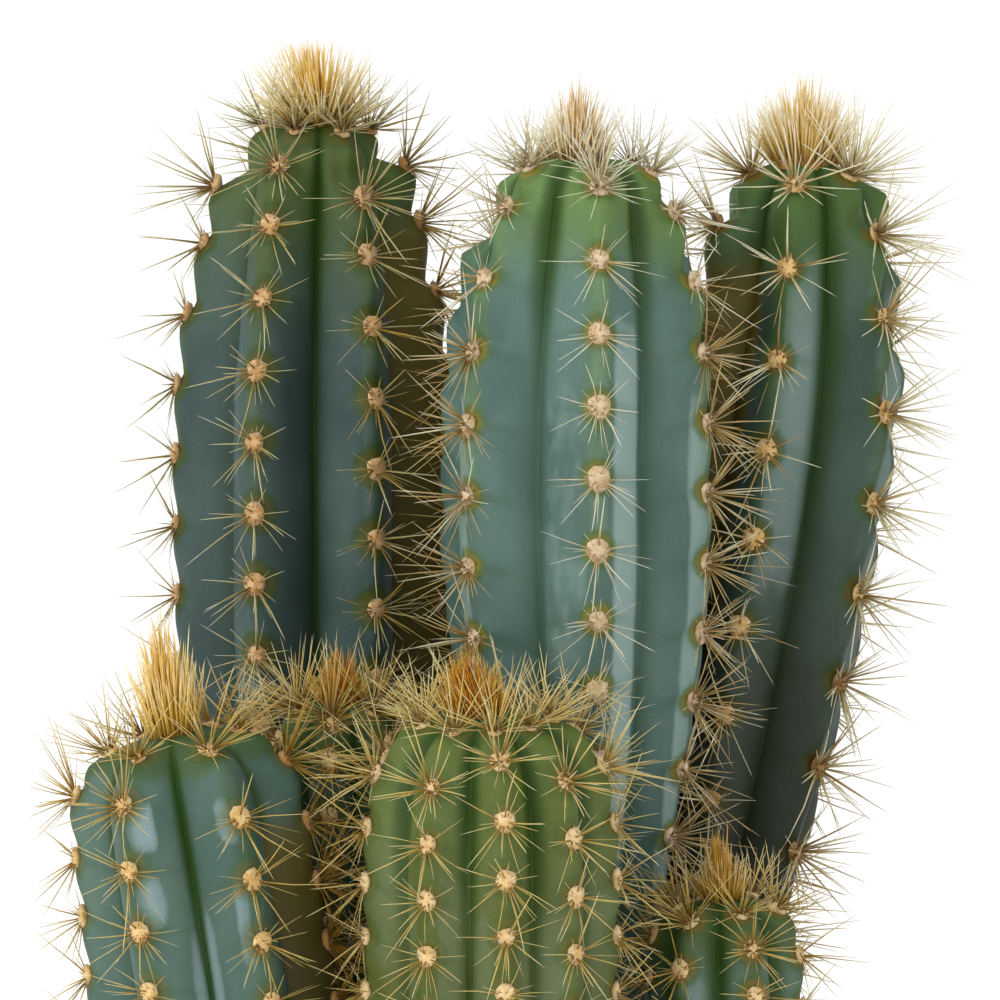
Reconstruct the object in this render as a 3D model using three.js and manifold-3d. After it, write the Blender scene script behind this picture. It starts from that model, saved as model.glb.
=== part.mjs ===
// A potted cluster of blue torch cactus: seven ribbed columns of different ages stand in soil in a plain
// round pot. Each column carries a row of areoles on every rib, with spines, and ends in a spiny crown.
// Millimetres, +Z up, with the origin at the centre of the pot's foot. -Y is the front of the plant.
import * as THREE from "three";
import { mergeVertices } from "three/addons/utils/BufferGeometryUtils.js";
import Module from "manifold-3d";

const wasm = await Module();
wasm.setup();

// ---- Driving dimensions ------------------------------------------------------------------------------

const GAP = 0.35; // clearance between pieces that touch in the real plant

const POT = {
  height: 145,
  footRadius: 64,
  floor: 10,
  wall: 6,
  innerFoot: 58,
  innerRim: 85,
  rimRadius: 94,
  rimHeight: 28,
  edge: 1.8, // rounding of the rim and the foot
  sides: 48,
  drainRadius: 5.5,
  drainRing: 38,
  drains: 4,
};

const SOIL = { top: 133, relief: 1.3, sides: 32, rings: 5 };

const FOOT_DEPTH = 30; // how far each column goes into the soil

// axis: foot, two steering points of a cubic Bezier curve, and apex, with heights above the soil.
// ribs: where each rib faces, in degrees from the front, positive to the right.
// groove: depth of the grooves as a share of the radius. swell: how far the crest rises at each areole.
// shoulder: width of the dome against the full column, and how many radii down the full width is reached.
// narrow: where the column starts and stops tapering to its foot, below the apex.
// tip, second, pitch: distance of the first and second areole below the apex and of each from the next.
// low: the ribs whose areoles sit lower than the others', by the lag as a share of the pitch.
const STEMS = [
  {
    name: "tall_left",
    axis: [[-36, 34, -FOOT_DEPTH], [-36.7, 36.4, 76], [-43.2, 38, 183], [-37.9, 38, 288.9]],
    radius: 31.4, foot: 18.5, groove: 0.34, swell: 1.1, shoulder: [0.77, 2.2], narrow: [110, 285],
    ribs: [-22.5, 31, 92, 152, 212, 272],
    tip: 7, second: 20.4, pitch: 16.6, low: [1, 3, 5], lag: 0.38, spine: 17,
  },
  {
    name: "tall_centre",
    axis: [[20, 4, -FOOT_DEPTH], [29.5, 1.6, 76], [19.4, 0, 181], [25.1, 0, 287.2]],
    radius: 32.6, foot: 17.5, groove: 0.25, swell: 1, shoulder: [0.8, 1.8], narrow: [85, 205],
    ribs: [7, 63, 126, 187, 248, 308.5],
    tip: 6.3, second: 22.2, pitch: 16.2, low: [1, 3, 5], lag: 0.36, spine: 16,
  },
  {
    name: "tall_right",
    axis: [[42, 40, -FOOT_DEPTH], [39, 42.4, 74], [75.4, 44, 178], [76.8, 44, 282]],
    radius: 28.5, foot: 15.5, groove: 0.34, swell: 1.5, shoulder: [0.82, 1.8], narrow: [80, 270],
    ribs: [-10, 53, 105, 165, 227, 289],
    tip: 5, second: 24, pitch: 21.3, low: [1, 3, 5], lag: 0.5, spine: 18,
  },
  {
    name: "short_left",
    axis: [[-48, -36, -FOOT_DEPTH], [-48.7, -40.8, 34], [-56.8, -44, 97], [-68.1, -44, 160.8]],
    radius: 26, foot: 15.5, groove: 0.3, swell: 1, shoulder: [0.92, 1], narrow: [62, 150],
    ribs: [-29, 32, 92, 152, 212, 270],
    tip: 3, second: 17.2, pitch: 13.8, low: [0, 2, 4, 5], lag: 0.55, spine: 16,
  },
  {
    name: "short_centre",
    axis: [[2, -44, -FOOT_DEPTH], [-0.5, -48.2, 36], [4.8, -51, 101], [2.1, -51, 166.9]],
    radius: 28.5, foot: 16.5, groove: 0.2, swell: 0.9, shoulder: [0.9, 1.2], narrow: [60, 150],
    ribs: [7, 41, 80, 120, 161, 202, 243, 284, 331],
    tip: 7, second: 19.2, pitch: 12.5, low: [1, 2, 4, 6, 7, 8], lag: 0.42, spine: 14,
  },
  {
    name: "short_right",
    axis: [[46, -24, -FOOT_DEPTH], [47.9, -26.4, 20], [60.2, -28, 70], [55.5, -28, 119.6]],
    radius: 17.5, foot: 11.5, groove: 0.28, swell: 0.8, shoulder: [0.9, 1.2], narrow: [38, 105],
    ribs: [-40, 20, 80, 140, 200, 260],
    tip: 3, second: 13.2, pitch: 11.4, low: [1, 3, 5], lag: 0.5, spine: 14,
  },
  {
    name: "short_back",
    axis: [[-31, -9, -FOOT_DEPTH], [-31.2, -10.8, 34], [-33.5, -12, 98], [-32.1, -12, 162.4]],
    radius: 16, foot: 11, groove: 0.28, swell: 0.8, shoulder: [0.9, 1.2], narrow: [60, 150],
    ribs: [-5, 55, 115, 175, 235, 295],
    tip: 3.5, second: 11.5, pitch: 12.5, low: [1, 3, 5], lag: 0.42, spine: 14,
  },
];

const PLATEAU = 2; // the column is cut off flat this far below its apex, and carries its crown there
const DOME = { height: 0.65, power: 2.5 }; // height as a share of the radius, and how square it is
const CREST_ROUNDING = 0.25; // larger is blunter
const FLANK = 0.45; // where the flank's row of points lies, from crest (0) to groove (1)
const CORKY_GROOVE = 0.3; // what is left of the groove at the foot
const SEAT = { height: 6, deeper: 1.2, sides: 14 }; // the peg that cuts a column's hole in the soil
const BARE_FOOT = 8; // areoles this close to the soil carry no spine

const NEEDLE = { radius: 0.75, sunk: 2.6, tilt: 38, spread: 12, gap: 2.3, bodyGap: 1.4 };
const CROWN = { radius: 0.4, height: 7, sides: 8, needles: 18, lean: 58, needle: 21, sunk: 2.5 };
const GOLDEN_ANGLE = 137.508;
const AXIS_STEPS = 240;

const MATERIALS = {
  skin: new THREE.MeshStandardMaterial({ color: 0x4d7d80, roughness: 0.62, metalness: 0 }),
  greenSkin: new THREE.MeshStandardMaterial({ color: 0x55795a, roughness: 0.6, metalness: 0 }),
  crown: new THREE.MeshStandardMaterial({ color: 0xcfa55a, roughness: 0.7, metalness: 0 }),
  soil: new THREE.MeshStandardMaterial({ color: 0x3d2e22, roughness: 0.95, metalness: 0 }),
  terracotta: new THREE.MeshStandardMaterial({ color: 0xb5673f, roughness: 0.85, metalness: 0 }),
};

// ---- Solids ------------------------------------------------------------------------------------------

const radians = THREE.MathUtils.degToRad;
const lerp = THREE.MathUtils.lerp;
const smoothstep = THREE.MathUtils.smoothstep;

// A seeded draw, so that every build gives the same plant.
function randomSource(seed) {
  let state = seed;
  return () => {
    state = (state * 1664525 + 1013904223) % 4294967296;
    return state / 4294967296;
  };
}

// A closed three.js geometry as a solid that can be joined and cut.
function solidOf(geometry) {
  const bare = geometry.clone();
  bare.deleteAttribute("normal");
  bare.deleteAttribute("uv");
  const merged = mergeVertices(bare, 1e-4);
  return new wasm.Manifold(new wasm.Mesh({
    numProp: 3,
    vertProperties: new Float32Array(merged.attributes.position.array),
    triVerts: new Uint32Array(merged.index.array),
  }));
}

function meshOf(solid, name, material) {
  const { vertProperties, triVerts } = solid.getMesh();
  const geometry = new THREE.BufferGeometry();
  geometry.setAttribute("position", new THREE.BufferAttribute(vertProperties, 3));
  geometry.setIndex(new THREE.BufferAttribute(triVerts, 1));
  geometry.computeVertexNormals();
  const mesh = new THREE.Mesh(geometry, material);
  mesh.name = name;
  return mesh;
}

function geometryOf(points, triangles) {
  const geometry = new THREE.BufferGeometry();
  geometry.setAttribute("position", new THREE.Float32BufferAttribute(points.flatMap((p) => [...p]), 3));
  geometry.setIndex(triangles.flat());
  return geometry;
}

// ---- The column's shape ------------------------------------------------------------------------------

class Column {
  constructor(facts, order) {
    Object.assign(this, facts);
    this.order = order;
    const steering = facts.axis.map(([x, y, height]) => new THREE.Vector3(x, y, SOIL.top + height));
    this.curve = new THREE.CubicBezierCurve3(...steering);
    this.curve.arcLengthDivisions = AXIS_STEPS;
    this.length = this.curve.getLength();
    this.soilLine = this.length - FOOT_DEPTH;
    this.random = randomSource(1000 + order);
  }

  // The axis and its cross directions at a distance below the apex.
  frameAt(below) {
    const share = THREE.MathUtils.clamp(1 - below / this.length, 0, 1);
    const centre = this.curve.getPointAt(share);
    const up = this.curve.getTangentAt(share);
    const right = new THREE.Vector3(1, 0, 0).addScaledVector(up, -up.x).normalize();
    const back = new THREE.Vector3().crossVectors(up, right);
    return { centre, up, right, back };
  }

  // Crest radius: a squarish dome at the top, a slow widening below it and a taper towards the foot.
  crestRadius(below) {
    const rise = Math.min(below / (DOME.height * this.radius), 1);
    const dome = (1 - (1 - rise) ** DOME.power) ** (1 / DOME.power);
    const [share, reach] = this.shoulder;
    const shoulder = lerp(share, 1, smoothstep(below, 0, reach * this.radius));
    const taper = lerp(1, this.foot / this.radius, smoothstep(below, ...this.narrow));
    return this.radius * dome * shoulder * taper;
  }

  grooveDepth(below) {
    const cork = smoothstep(below, this.narrow[1] - 50, this.soilLine);
    return this.groove * lerp(1, CORKY_GROOVE, cork);
  }

  // Radius across a rib: a hyperbola, round at the crest (0) and nearly straight down to the groove (1).
  radiusAt(below, across) {
    const e = CREST_ROUNDING;
    const fall = (Math.hypot(across, e) - e) / (Math.hypot(1, e) - e);
    return this.crestRadius(below) * (1 - this.grooveDepth(below) * fall);
  }

  pointAt(below, angle, radius) {
    const { centre, right, back } = this.frameAt(below);
    return centre
      .addScaledVector(right, radius * Math.sin(radians(angle)))
      .addScaledVector(back, -radius * Math.cos(radians(angle)));
  }

  // Distance of a rib's nth areole below the apex.
  areoleAt(rib, n) {
    const step = this.low.includes(rib) ? this.lag * this.pitch : 0;
    return Math.min((n ? this.second + (n - 1) * this.pitch : this.tip) + step, this.soilLine + 2);
  }

  // Rows of the surface, as distances below the apex. Rows with an areole number carry one on each rib,
  // and the crests have one more point, in the notch, on the way from one such row to the next.
  rows() {
    const middle = (n) => (this.areoleAt(0, n) + this.areoleAt(1, n)) / 2;
    const rows = [{ below: PLATEAU }, { below: middle(0), areole: 0 }];
    rows.push({ below: lerp(middle(0), middle(1), 0.5) });
    for (let n = 1; middle(n) < this.soilLine; n++) rows.push({ below: middle(n), areole: n });
    return [...rows, { below: this.soilLine + 5 }, { below: this.length }];
  }

  crestPoint(rib, row) {
    const below = row.areole === undefined ? row.below : this.areoleAt(rib, row.areole);
    const swell = row.areole === undefined ? 0 : this.swell;
    return this.pointAt(below, this.ribs[rib], this.crestRadius(below) + swell);
  }

  notchPoint(rib, row) {
    const below = (this.areoleAt(rib, row.areole) + this.areoleAt(rib, row.areole + 1)) / 2;
    return this.pointAt(below, this.ribs[rib], this.crestRadius(below) - this.swell);
  }

  // The columns of points down the surface, in order round it: groove, flank, crest and flank of each rib.
  strands(rows) {
    const count = this.ribs.length;
    const strands = [];
    const line = (angle, across) =>
      rows.map((row) => [this.pointAt(row.below, angle, this.radiusAt(row.below, across))]);
    for (let rib = 0; rib < count; rib++) {
      const crest = this.ribs[rib];
      const before = rib ? this.ribs[rib - 1] : this.ribs[count - 1] - 360;
      const after = rib < count - 1 ? this.ribs[rib + 1] : this.ribs[0] + 360;
      const leftGroove = (before + crest) / 2;
      const rightGroove = (crest + after) / 2;
      strands.push(line(leftGroove, 1));
      strands.push(line(lerp(crest, leftGroove, FLANK), FLANK));
      strands.push(rows.map((row, i) => {
        const next = rows[i + 1];
        const point = this.crestPoint(rib, row);
        const notched = row.areole !== undefined && next.areole !== undefined;
        return notched ? [point, this.notchPoint(rib, row)] : [point];
      }));
      strands.push(line(lerp(crest, rightGroove, FLANK), FLANK));
    }
    return strands;
  }

  // The closed skin of the column, without spines.
  skin() {
    const rows = this.rows();
    const strands = this.strands(rows);
    const points = [];
    const triangles = [];
    const index = strands.map((strand) => strand.map((group) => group.map((p) => points.push(p) - 1)));
    strands.forEach((_, i) => {
      const left = index[i];
      const right = index[(i + 1) % strands.length];
      for (let row = 0; row < rows.length - 1; row++) {
        const [a, leftMid] = left[row];
        const [b, rightMid] = right[row];
        const c = right[row + 1][0];
        const d = left[row + 1][0];
        if (leftMid !== undefined) triangles.push([a, leftMid, b], [leftMid, c, b], [leftMid, d, c]);
        else if (rightMid !== undefined) triangles.push([a, rightMid, b], [a, d, rightMid], [d, c, rightMid]);
        else triangles.push([a, d, c], [a, c, b]);
      }
    });
    const top = points.push(this.frameAt(PLATEAU).centre) - 1;
    const bottom = points.push(this.frameAt(this.length).centre) - 1;
    const last = rows.length - 1;
    index.forEach((strand, i) => {
      const next = index[(i + 1) % index.length];
      triangles.push([top, strand[0][0], next[0][0]], [bottom, next[last][0], strand[last][0]]);
    });
    return solidOf(geometryOf(points, triangles));
  }

  // A round peg a little wider than the foot, to cut the column's hole in the soil.
  seat() {
    const { height, deeper, sides } = SEAT;
    const widest = Math.max(this.crestRadius(this.length), this.crestRadius(this.soilLine - height));
    const reach = (widest + this.swell + GAP) / Math.cos(Math.PI / sides);
    const { centre, up } = this.frameAt(this.length);
    const foot = centre.addScaledVector(up, -deeper);
    const head = this.frameAt(this.soilLine - height).centre;
    const peg = new THREE.CylinderGeometry(reach, reach, foot.distanceTo(head), sides);
    const lean = head.clone().sub(foot).normalize();
    peg.applyQuaternion(new THREE.Quaternion().setFromUnitVectors(new THREE.Vector3(0, 1, 0), lean));
    peg.translate(...foot.clone().add(head).multiplyScalar(0.5));
    return solidOf(peg);
  }

  // Every areole clear of the soil: its outward normal, the directions along and across its rib, and the
  // four facets that meet at it (below right, below left, above right, above left) as roots for a spine.
  areoles() {
    const rows = this.rows();
    const strands = this.strands(rows);
    const found = [];
    rows.forEach((row, i) => {
      if (row.areole === undefined) return;
      this.ribs.forEach((angle, rib) => {
        const crest = strands[4 * rib + 2];
        const [peak, notch] = crest[i];
        if (peak.z < SOIL.top + BARE_FOOT) return;
        const { up, right, back } = this.frameAt(row.below);
        const out = new THREE.Vector3()
          .addScaledVector(right, Math.sin(radians(angle)))
          .addScaledVector(back, -Math.cos(radians(angle)));
        const slope = (this.crestRadius(row.below + 1) - this.crestRadius(row.below - 1)) / 2;
        const normal = out.clone().addScaledVector(up, Math.max(slope, 0)).normalize();
        const side = new THREE.Vector3().crossVectors(up, out);
        const along = new THREE.Vector3().crossVectors(normal, side);
        const flanks = [strands[4 * rib + 3][i][0], strands[4 * rib + 1][i][0]];
        const ends = [notch ?? crest[i + 1][0]];
        if (row.areole > 0) ends.push(crest[i - 1].at(-1));
        const roots = ends.flatMap((end) => flanks.map((flank) =>
          peak.clone().multiplyScalar(0.64).addScaledVector(flank, 0.18).addScaledVector(end, 0.18)));
        found.push({ normal, along, side, roots });
      });
    });
    return found;
  }
}

// ---- Spines ------------------------------------------------------------------------------------------

function needleSolid({ root, direction, length, radius, sunk }) {
  const cone = new THREE.ConeGeometry(radius, length + sunk, 3);
  cone.translate(0, (length - sunk) / 2, 0);
  cone.applyQuaternion(new THREE.Quaternion().setFromUnitVectors(new THREE.Vector3(0, 1, 0), direction));
  cone.translate(...root);
  return solidOf(cone);
}

// Shortest distance between two straight needles.
function distanceBetween(a, b) {
  const u = a.tip.clone().sub(a.root);
  const v = b.tip.clone().sub(b.root);
  const w = a.root.clone().sub(b.root);
  const [uu, uv, vv, uw, vw] = [u.dot(u), u.dot(v), v.dot(v), u.dot(w), v.dot(w)];
  const spread = uu * vv - uv * uv;
  let s = spread > 1e-9 ? THREE.MathUtils.clamp((uv * vw - vv * uw) / spread, 0, 1) : 0;
  const t = THREE.MathUtils.clamp((uv * s + vw) / vv, 0, 1);
  s = THREE.MathUtils.clamp((uv * t - uw) / uu, 0, 1);
  return w.addScaledVector(u, s).addScaledVector(v, -t).length();
}

// Keeps the needles of different nodes clear of each other, of every other column, the soil and the pot.
class Thicket {
  constructor(columns) {
    this.columns = columns;
    this.placed = [];
    this.axes = columns.map((column) =>
      Array.from({ length: AXIS_STEPS + 1 }, (_, i) => {
        const below = (column.length * i) / AXIS_STEPS;
        const { centre } = column.frameAt(below);
        return { centre, reach: column.crestRadius(below) + column.swell };
      }));
  }

  hitsColumn(point, owner) {
    return this.columns.some((column, i) => {
      if (column === owner) return false;
      return this.axes[i].some(({ centre, reach }) =>
        centre.distanceToSquared(point) < (reach + NEEDLE.bodyGap) ** 2);
    });
  }

  hitsGround(point) {
    const wall = lerp(POT.innerFoot, POT.innerRim, point.z / POT.height) - 3;
    const low = point.z < soilHeight(point.x, point.y) + 2.5;
    return low || (point.z < POT.height + 3 && Math.hypot(point.x, point.y) > wall);
  }

  isClear(needle, owner) {
    const steps = 6;
    for (let i = 1; i <= steps; i++) {
      const point = needle.root.clone().lerp(needle.tip, i / steps);
      if (this.hitsGround(point) || this.hitsColumn(point, owner)) return false;
    }
    return this.placed.every((other) =>
      other.node === needle.node || distanceBetween(needle, other) > NEEDLE.gap);
  }

  // Takes the first of the directions in which a needle is clear, shortening it where none is.
  place(node, owner, root, directions, length, shares) {
    for (const share of shares)
      for (const direction of directions) {
        const tip = root.clone().addScaledVector(direction, length * share);
        const needle = { node, root, tip, direction, length: length * share };
        if (this.isClear(needle, owner)) {
          this.placed.push(needle);
          return needle;
        }
      }
    return null;
  }
}

// The directions that one areole's spine may take, starting with the one that its turn gives it.
function spineDirections(areole, turn, tilt) {
  return [0, 1, -1, 2, -2, 3, -3, 4].flatMap((step) => [tilt, tilt * 0.5].map((lean) => {
    const around = radians(turn + step * 45);
    const flat = areole.along.clone().multiplyScalar(Math.cos(around))
      .addScaledVector(areole.side, Math.sin(around));
    return areole.normal.clone().multiplyScalar(Math.cos(radians(lean)))
      .addScaledVector(flat, Math.sin(radians(lean))).normalize();
  }));
}

// A column with one spine on each areole, pointing all ways in turn.
function columnSolid(column, thicket) {
  const needles = [];
  column.areoles().forEach((areole, i) => {
    const turn = i * GOLDEN_ANGLE;
    const tilt = NEEDLE.tilt + NEEDLE.spread * (2 * column.random() - 1);
    const length = column.spine * (0.85 + 0.3 * column.random());
    const corner = (Math.cos(radians(turn)) < 0 ? 0 : 2) + (Math.sin(radians(turn)) < 0 ? 1 : 0);
    const root = areole.roots[corner % areole.roots.length];
    const node = `stem_${column.name}`;
    const directions = spineDirections(areole, turn, tilt);
    const needle = thicket.place(node, column, root, directions, length, [1, 0.8, 0.6, 0.42]);
    if (needle) needles.push(needleSolid({ ...needle, ...NEEDLE }));
  });
  return wasm.Manifold.union([column.skin(), ...needles]);
}

// The crown: a low woolly dome on the column's flat top, with a fountain of young spines.
function crownSolid(column, thicket) {
  const { centre, up, right, back } = column.frameAt(PLATEAU - GAP);
  const reach = CROWN.radius * column.radius;
  const height = CROWN.height * (column.radius / STEMS[0].radius);
  const profile = [[0, 0], [reach, 0], [reach * 0.92, height * 0.5], [reach * 0.5, height * 0.9], [0, height]];
  const dome = new THREE.LatheGeometry(profile.map(([r, h]) => new THREE.Vector2(r, h)), CROWN.sides);
  const place = new THREE.Matrix4().makeBasis(right, up, back.clone().negate());
  dome.applyMatrix4(place.setPosition(centre));
  const needles = [];
  for (let i = 0; i < CROWN.needles; i++) {
    const share = Math.sqrt((i + 0.5) / CROWN.needles);
    const around = radians(i * GOLDEN_ANGLE + column.order * 31);
    const lean = radians(CROWN.lean * share);
    const flat = right.clone().multiplyScalar(Math.sin(around)).addScaledVector(back, -Math.cos(around));
    const root = centre.clone().addScaledVector(flat, reach * 0.72 * share)
      .addScaledVector(up, height * (0.9 - 0.45 * share * share));
    const lengths = CROWN.needle * (0.72 + 0.28 * column.random()) * (1 - 0.25 * share);
    const directions = [1, 0.8, 0.6, 0.4, 0.2].map((part) =>
      up.clone().multiplyScalar(Math.cos(lean * part)).addScaledVector(flat, Math.sin(lean * part)));
    const length = lengths * Math.sqrt(column.radius / STEMS[0].radius);
    const needle = thicket.place(`crown_${column.name}`, column, root, directions, length, [1, 0.75, 0.55]);
    if (needle) needles.push(needleSolid({ ...needle, ...NEEDLE, sunk: CROWN.sunk }));
  }
  return wasm.Manifold.union([solidOf(dome), ...needles]);
}

// ---- Pot and soil ------------------------------------------------------------------------------------

function potSolid() {
  const { height, footRadius, floor, wall, innerFoot, innerRim, rimRadius, rimHeight, edge } = POT;
  const ledge = height - rimHeight;
  const wallTop = lerp(innerFoot, innerRim, ledge / height) + wall;
  const profile = [
    [0, 0], [footRadius - edge, 0], [footRadius, edge],
    [wallTop, ledge], [rimRadius - 3 - edge, ledge + 1], [rimRadius - 3, ledge + 1 + edge],
    [rimRadius, height - edge], [rimRadius - edge, height],
    [innerRim + edge, height], [innerRim, height - edge],
    [innerFoot + 1, floor + 4], [innerFoot - 3, floor], [0, floor],
  ];
  const shell = new THREE.LatheGeometry(profile.map(([r, z]) => new THREE.Vector2(r, z)), POT.sides);
  shell.rotateX(Math.PI / 2);
  const drains = Array.from({ length: POT.drains }, (_, i) => {
    const drill = new THREE.CylinderGeometry(POT.drainRadius, POT.drainRadius, 3 * floor, 12);
    drill.rotateX(Math.PI / 2);
    const turn = radians(45 + (360 * i) / POT.drains);
    drill.translate(POT.drainRing * Math.cos(turn), POT.drainRing * Math.sin(turn), floor / 2);
    return solidOf(drill);
  });
  return solidOf(shell).subtract(wasm.Manifold.union(drains));
}

// Height of the soil: a few crossed waves that die out at the pot's wall.
function soilHeight(x, y) {
  const waves = Math.sin(x * 0.11 + 1.3) + Math.cos(y * 0.13 - x * 0.05) + Math.sin((x + y) * 0.21) * 0.6;
  return SOIL.top + SOIL.relief * waves * (1 - (Math.hypot(x, y) / POT.innerRim) ** 4);
}

function soilSolid(columns) {
  const gap = 2 * GAP;
  const low = POT.floor + GAP;
  const wallAt = (z) => lerp(POT.innerFoot, POT.innerRim, z / POT.height) - gap;
  const rim = wallAt(SOIL.top - 4);
  const points = [new THREE.Vector3(0, 0, soilHeight(0, 0))];
  const ring = (radius, height) => {
    const start = points.length;
    for (let i = 0; i < SOIL.sides; i++) {
      const turn = (2 * Math.PI * i) / SOIL.sides;
      const x = radius * Math.cos(turn);
      const y = radius * Math.sin(turn);
      points.push(new THREE.Vector3(x, y, height ?? soilHeight(x, y)));
    }
    return start;
  };
  const rings = Array.from({ length: SOIL.rings }, (_, i) => ring((rim * (i + 1)) / SOIL.rings, undefined));
  rings.push(ring(wallAt(SOIL.top - 30), SOIL.top - 30));
  rings.push(ring(POT.innerFoot - 4 - gap, low));
  const triangles = [];
  const next = (i) => (i + 1) % SOIL.sides;
  for (let i = 0; i < SOIL.sides; i++) {
    triangles.push([0, rings[0] + i, rings[0] + next(i)]);
    for (let k = 0; k < rings.length - 1; k++) {
      const [a, b] = [rings[k] + i, rings[k] + next(i)];
      const [c, d] = [rings[k + 1] + next(i), rings[k + 1] + i];
      triangles.push([a, d, c], [a, c, b]);
    }
  }
  const centre = points.push(new THREE.Vector3(0, 0, low)) - 1;
  for (let i = 0; i < SOIL.sides; i++) triangles.push([centre, rings.at(-1) + next(i), rings.at(-1) + i]);
  return solidOf(geometryOf(points, triangles)).subtract(
    wasm.Manifold.union(columns.map((column) => column.seat())));
}

// ---- The plant in its pot ----------------------------------------------------------------------------

const columns = STEMS.map((facts, order) => new Column(facts, order));
const thicket = new Thicket(columns);
const plant = new THREE.Group();

plant.add(meshOf(potSolid(), "pot", MATERIALS.terracotta));
plant.add(meshOf(soilSolid(columns), "soil", MATERIALS.soil));
for (const column of columns)
  plant.add(meshOf(crownSolid(column, thicket), `crown_${column.name}`, MATERIALS.crown));
for (const column of columns) {
  const skin = column.name === "short_centre" ? MATERIALS.greenSkin : MATERIALS.skin;
  plant.add(meshOf(columnSolid(column, thicket), `stem_${column.name}`, skin));
}

export default plant;
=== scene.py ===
"""A blue torch cactus of seven ribbed columns in a clay pot, dressed over its fixed frame.

Lengths are in metres and angles in degrees. +Z is up and the front faces -Y. An angle round a column is
counted from the front, and is positive to the right. "below" is a distance down from a column's apex.
"""

import logging
import math
from abc import ABC, abstractmethod
from dataclasses import dataclass, field, fields
from enum import Enum
from functools import cached_property
from typing import Any

import bpy
import numpy as np
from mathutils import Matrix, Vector


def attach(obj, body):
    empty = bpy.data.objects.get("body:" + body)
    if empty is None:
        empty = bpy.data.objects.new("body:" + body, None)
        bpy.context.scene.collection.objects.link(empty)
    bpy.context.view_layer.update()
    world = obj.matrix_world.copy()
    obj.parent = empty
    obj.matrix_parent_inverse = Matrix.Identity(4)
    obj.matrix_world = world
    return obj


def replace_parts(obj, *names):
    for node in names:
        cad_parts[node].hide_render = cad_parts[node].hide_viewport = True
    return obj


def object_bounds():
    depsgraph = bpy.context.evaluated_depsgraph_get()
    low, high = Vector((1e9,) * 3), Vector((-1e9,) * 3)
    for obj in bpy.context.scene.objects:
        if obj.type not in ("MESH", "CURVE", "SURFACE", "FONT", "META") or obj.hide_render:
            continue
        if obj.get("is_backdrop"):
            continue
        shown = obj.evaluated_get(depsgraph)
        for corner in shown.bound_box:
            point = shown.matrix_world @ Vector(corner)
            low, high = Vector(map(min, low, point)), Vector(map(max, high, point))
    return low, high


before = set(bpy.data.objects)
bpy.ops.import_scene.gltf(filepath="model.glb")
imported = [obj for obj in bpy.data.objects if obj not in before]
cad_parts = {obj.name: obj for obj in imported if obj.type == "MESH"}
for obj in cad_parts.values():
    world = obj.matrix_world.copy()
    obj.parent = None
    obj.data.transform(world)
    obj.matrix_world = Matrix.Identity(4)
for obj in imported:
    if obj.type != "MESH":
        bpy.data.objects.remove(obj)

LOG = logging.getLogger("torch_cactus")
Array = np.ndarray
Colour = tuple[float, float, float]
Place = tuple[float, float, float]
Stretch = tuple[float, float, float]
GOLDEN_ANGLE = 137.508
RANGE_ENDS = ("From Min", "From Max", "To Min", "To Max")

# Room between the plant and the walls of the box that it has to stay in.
BOX_INSET = 0.0003

# Half-axes of an areole's pad: across the rib, along it and outwards.
PAD = (0.0024, 0.0028, 0.0012)

# Rib numbers of a column with six ribs: all of them, and every other one.
ALL_SIX = (0, 1, 2, 3, 4, 5)
ODD = (1, 3, 5)


# ---- Small formulas


def lerp(a: Any, b: Any, share: Any) -> Any:
    """The value a share of the way from a to b."""
    return a + (b - a) * share


def smoothstep(value: Any, low: float, high: float) -> Any:
    """Rises smoothly from 0 at low to 1 at high: 3t^2 - 2t^3 of the clipped share t."""
    t = np.clip((value - low) / (high - low), 0.0, 1.0)
    return t * t * (3.0 - 2.0 * t)


def bell(value: Any, middle: float, width: float) -> Any:
    """A bell curve of height 1: exp(-((value - middle) / width)^2)."""
    return np.exp(-(((value - middle) / width) ** 2))


def unit(vectors: Array) -> Array:
    """The same vectors with length 1."""
    return vectors / np.linalg.norm(vectors, axis=-1, keepdims=True)


def dot(a: Array, b: Array) -> Array:
    """Scalar products along the last axis."""
    return np.sum(a * b, axis=-1)


def window(value: Any, low: float, high: float, edge: float) -> Any:
    """1 from low to high and 0 outside, with a smooth step that reaches this edge to both sides of each."""
    return smoothstep(value, low - edge, low + edge) * smoothstep(-value, -high - edge, -high + edge)


def turns(count: int) -> Array:
    """The angles of this many equal steps round a full circle, in radians."""
    return 2.0 * np.pi * np.arange(count) / count


def swing(first: Array, second: Array, angle: Array) -> Array:
    """Directions at angles from first towards second: first * cos a + second * sin a."""
    return first * np.cos(angle)[..., None] + second * np.sin(angle)[..., None]


def spun(radius: Any, angle: Any, height: Any) -> Array:
    """Points turned round the upright axis, counted from the front: (r sin a, -r cos a, z)."""
    return np.stack(np.broadcast_arrays(radius * np.sin(angle), -radius * np.cos(angle), height), axis=-1)


def shade(red: int, green: int, blue: int, gain: float = 1.0) -> Colour:
    """A linear colour from the 0-255 display values that it should show.

    Args:
        red: display red.
        green: display green.
        blue: display blue.
        gain: factor on the linear values, for a surface that stands in some shade.

    Returns:
        The linear red, green and blue.
    """
    channels = np.array([red, green, blue]) / 255.0
    linear = np.where(channels <= 0.04045, channels / 12.92, ((channels + 0.055) / 1.055) ** 2.4)
    return tuple(float(c) for c in np.clip(linear * gain, 0.0, 1.0))


# ---- Surfaces


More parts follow.
